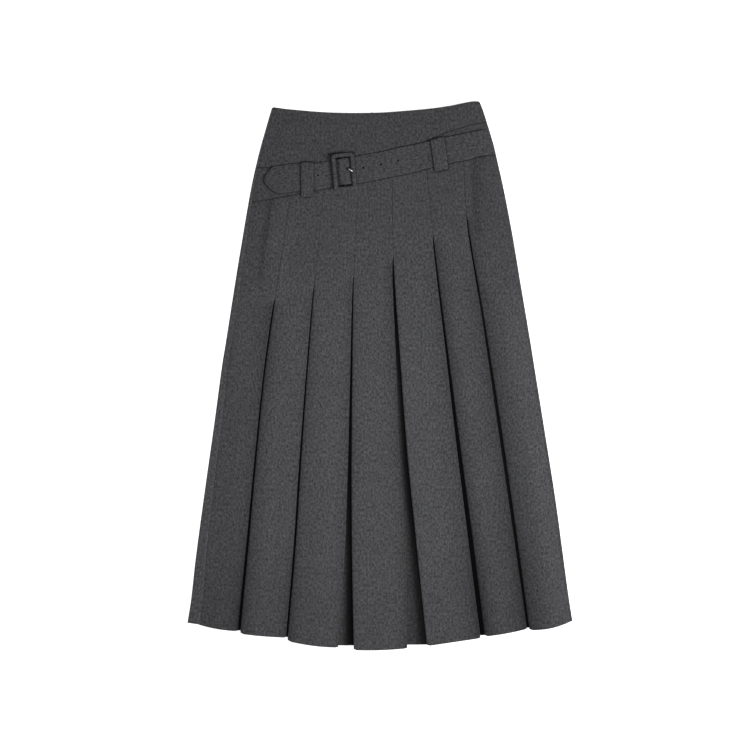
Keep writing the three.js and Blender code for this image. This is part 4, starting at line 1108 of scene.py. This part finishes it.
def buckle_frame():
    lo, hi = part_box("buckle_frame")
    top = hi[2] / MM
    low = top - BUCKLE["thick"]
    w, h = (BUCKLE["width"] - BUCKLE["side"]) / 2, (BUCKLE["height"] - BUCKLE["end"]) / 2
    corner = 3.0
    path, normal = [], []
    for cx, cy, a0 in ((w - corner, h - corner, 0), (-w + corner, h - corner, 90), (-w + corner, -h + corner, 180), (w - corner, -h + corner, 270)):
        for a in np.linspace(a0, a0 + 90, 11):
            r = math.radians(a)
            path.append((cx + corner * math.cos(r), cy + corner * math.sin(r)))
            normal.append((math.cos(r), math.sin(r)))
    # straight runs between the corners
    pts, nrm = [], []
    for i in range(len(path)):
        a, b = np.array(path[i]), np.array(path[(i + 1) % len(path)])
        gap = np.linalg.norm(b - a)
        n = max(1, int(gap / 1.6))
        for k in range(n):
            pts.append(mix(a, b, k / n))
            nrm.append(mix(np.array(normal[i]), np.array(normal[(i + 1) % len(path)]), k / n))
    pts, nrm = np.array(pts), np.array(nrm)
    nrm /= np.linalg.norm(nrm, axis=1, keepdims=True)
    section = np.linspace(0, 2 * np.pi, 21)[:-1]
    points, uvs, shade = [], [], []
    along = np.concatenate([[0], np.cumsum(np.linalg.norm(np.diff(pts, axis=0), axis=1))])
    for i, (c, n) in enumerate(zip(pts, nrm)):
        side = abs(n[0])
        half_w = mix(BUCKLE["end"], BUCKLE["side"], side**2) / 2 - 0.05
        for q in section:
            cs, sn = math.cos(q), math.sin(q)
            e = 0.62  # a soft rectangle
            r_u = math.copysign(abs(cs) ** e, cs) * half_w
            r_z = math.copysign(abs(sn) ** e, sn) * BUCKLE["thick"] / 2
            # the cloth gathers slightly round the corners, and is drawn tight along the bars
            diag = (1 - abs(abs(n[0]) - abs(n[1]))) ** 2
            swell = 1 + 0.02 * math.sin(along[i] * 0.9) + 0.045 * diag * math.sin(along[i] * 5.2 + q * 2)
            u, v = c[0] + n[0] * r_u * swell, c[1] + n[1] * r_u * swell
            x, y = in_buckle(u, v)
            z = low + BUCKLE["thick"] / 2 + r_z * (1 - 0.02 + 0.03 * diag * math.sin(along[i] * 4 + q))
            points.append((x, y, z))
            uvs.append((along[i], q * 2.6))
            shade.append(0.0)
    n_s, n_p = len(section), len(pts)
    faces = []
    for i in range(n_p):
        for j in range(n_s):
            a, b = i * n_s + j, i * n_s + (j + 1) % n_s
            c, d = ((i + 1) % n_p) * n_s + (j + 1) % n_s, ((i + 1) % n_p) * n_s + j
            faces.append([a, d, c, b])
    # the centre bar, under the strap, with painted shade
    bar_top = low + 0.25
    start = len(points)
    bar_half, bar_low = 2.3, bar_top - 1.6
    for v in np.linspace(-(BUCKLE["height"] / 2 - 4.5), BUCKLE["height"] / 2 - 4.5, 24):
        for q in np.linspace(0, 2 * np.pi, 13)[:-1]:
            u = math.copysign(abs(math.cos(q)) ** 0.7, math.cos(q)) * bar_half
            z = (bar_top + bar_low) / 2 + math.copysign(abs(math.sin(q)) ** 0.7, math.sin(q)) * 0.8
            x, y = in_buckle(u, v)
            points.append((x, y, z))
            uvs.append((u, v))
            shade.append(0.6)
    for i in range(23):
        for j in range(12):
            a, b = start + i * 12 + j, start + i * 12 + (j + 1) % 12
            faces.append([a, b, b + 12, a + 12])
    faces.append([start + j for j in range(11, -1, -1)])
    faces.append([start + 23 * 12 + j for j in range(12)])
    return mesh_object("cloth_buckle_frame", points, faces, uvs, shade)


buckle = dress(buckle_frame(), wool_painted_shade_belt, "flannel_belt", "buckle_frame")


def prong():
    keys = np.array(PRONG)
    d = np.concatenate([[0], np.cumsum(np.linalg.norm(np.diff(keys, axis=0), axis=1))])
    at = np.linspace(0, d[-1], 40)
    line = np.stack([hermite(d, keys[:, k], at) for k in range(3)], -1)
    tangent = np.gradient(line, axis=0)
    tangent /= np.linalg.norm(tangent, axis=1, keepdims=True)
    points = []
    for i, (c, t) in enumerate(zip(line, tangent)):
        sidew = np.cross(t, (0, 0, 1.0))
        sidew /= np.linalg.norm(sidew)
        upw = np.cross(sidew, t)
        f = i / (len(line) - 1)
        r = 1.3 * (1 - 0.35 * f)
        if f > 0.93:
            r *= math.sqrt(max(1 - ((f - 0.93) / 0.07) ** 2, 0.02))
        for q in np.linspace(0, 2 * np.pi, 17)[:-1]:
            points.append(c + sidew * math.cos(q) * r * (1 + 0.15 * f) + upw * math.sin(q) * r * (1 - 0.15 * f))
    n = len(line)
    faces = []
    for i in range(n - 1):
        for j in range(16):
            a, b = i * 16 + j, i * 16 + (j + 1) % 16
            faces.append([a, b, b + 16, a + 16])
    faces.append([j for j in range(15, -1, -1)])
    faces.append([(n - 1) * 16 + j for j in range(16)])
    f = np.repeat(np.linspace(0, 1, n), 16)
    # painted shade, with a rougher finish: dark where the prong goes into its hole and towards its tip
    painted_shade_and_roughness = np.maximum(1 - smooth((f - 0.2) / 0.14), smooth((f - 0.62) / 0.16))
    return mesh_object("metal_buckle_prong", points, faces, shade=painted_shade_and_roughness)


prong_piece = dress(prong(), nickel, "prong_metal", "buckle_prong")


def tab():
    rows = []
    for v in np.linspace(14, -14, 12):
        row = []
        for u in np.linspace(-6, 5, 8):
            x, y = in_buckle(u, v)
            x_, y_ = np.array(x), np.array(y)
            row.append((x, y, float(top_z(x_, y_)) + SEAM + 0.4))
        rows.append(row)
    p = np.array(rows)
    # painted shade over all of the tab, which lies under the buckle
    return shell("cloth_buckle_tab", p, 0.7, plain_uv(p), shade=np.full(p.shape[:2], 0.4), rim_steps=2)


tab_piece = dress(tab(), wool_painted_shade_belt, "flannel_belt", "buckle_tab")

# ------------------------------------------------------------------ zip

lo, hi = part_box("back_zip_tape")
x0, x1, y0, y1, zc = lo[0] / MM, hi[0] / MM, lo[1] / MM, hi[1] / MM, (lo[2] + hi[2]) / 2 / MM
tx, ty = np.meshgrid(np.linspace(x0, x1, 33), np.linspace(y1, y0, 150))
coil = 0.16 * np.exp(-(((tx - CENTRE_BACK_X) / 2.2) ** 2)) * (0.6 + 0.4 * np.sin(ty * 4.2))
tape_p = np.stack([tx, ty, zc + coil - 0.1], -1)
tape = dress(shell("zip_tape", tape_p, 0.5, plain_uv(tape_p)), zip_black, "zip", "back_zip_tape")


def zip_slider():
    lo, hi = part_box("back_zip_slider")
    cx, cz = (lo[0] + hi[0]) / 2 / MM, (lo[2] + hi[2]) / 2 / MM
    y0, y1 = lo[1] / MM, hi[1] / MM
    points, faces = [], []
    ring = np.linspace(0, 2 * np.pi, 21)[:-1]
    stations = np.linspace(0, 1, 15)
    for t in stations:
        w = 2.5 * (0.62 + 0.38 * math.sin(math.pi * min(t * 1.15 + 0.12, 1)) ** 0.7)
        h = 1.2 * (0.75 + 0.25 * math.sin(math.pi * t))
        end = math.sqrt(max(1 - (2 * t - 1) ** 8, 0.05))
        for q in ring:
            points.append((cx + math.copysign(abs(math.cos(q)) ** 0.6, math.cos(q)) * w * end, mix(y0, y1, t), cz + math.copysign(abs(math.sin(q)) ** 0.6, math.sin(q)) * h * end))
    for i in range(14):
        for j in range(20):
            a, b = i * 20 + j, i * 20 + (j + 1) % 20
            faces.append([a, a + 20, b + 20, b])
    faces.append([j for j in range(20)])
    faces.append([14 * 20 + j for j in range(19, -1, -1)])
    return mesh_object("zip_slider", points, faces)


slider = dress(zip_slider(), zip_black, "zip", "back_zip_slider")

# ------------------------------------------------------------------ what each sheet was cut to, given to cut(), which does nothing with it


def cut(o, width, length, held, rests, with_pieces=()):
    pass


cut(pleated, 1.40, 0.87, "folded", ["back_left", "back_right"])
cut(yoke, 0.386, 0.115, "laid", ["back_left", "back_right"])
cut(band, 0.415, 0.14, "laid", ["back_left", "back_right"])
cut(back_r, 0.34, 0.94, "laid", [])
cut(back_l, 0.36, 0.95, "laid", [])
cut(strap, 0.41, 0.055, "laid", ["front_hip_band"])
for o in loops:
    cut(o, 0.024, 0.068, "laid", ["belt_strap"])
cut(tab_piece, 0.0115, 0.029, "laid", ["front_hip_band"])
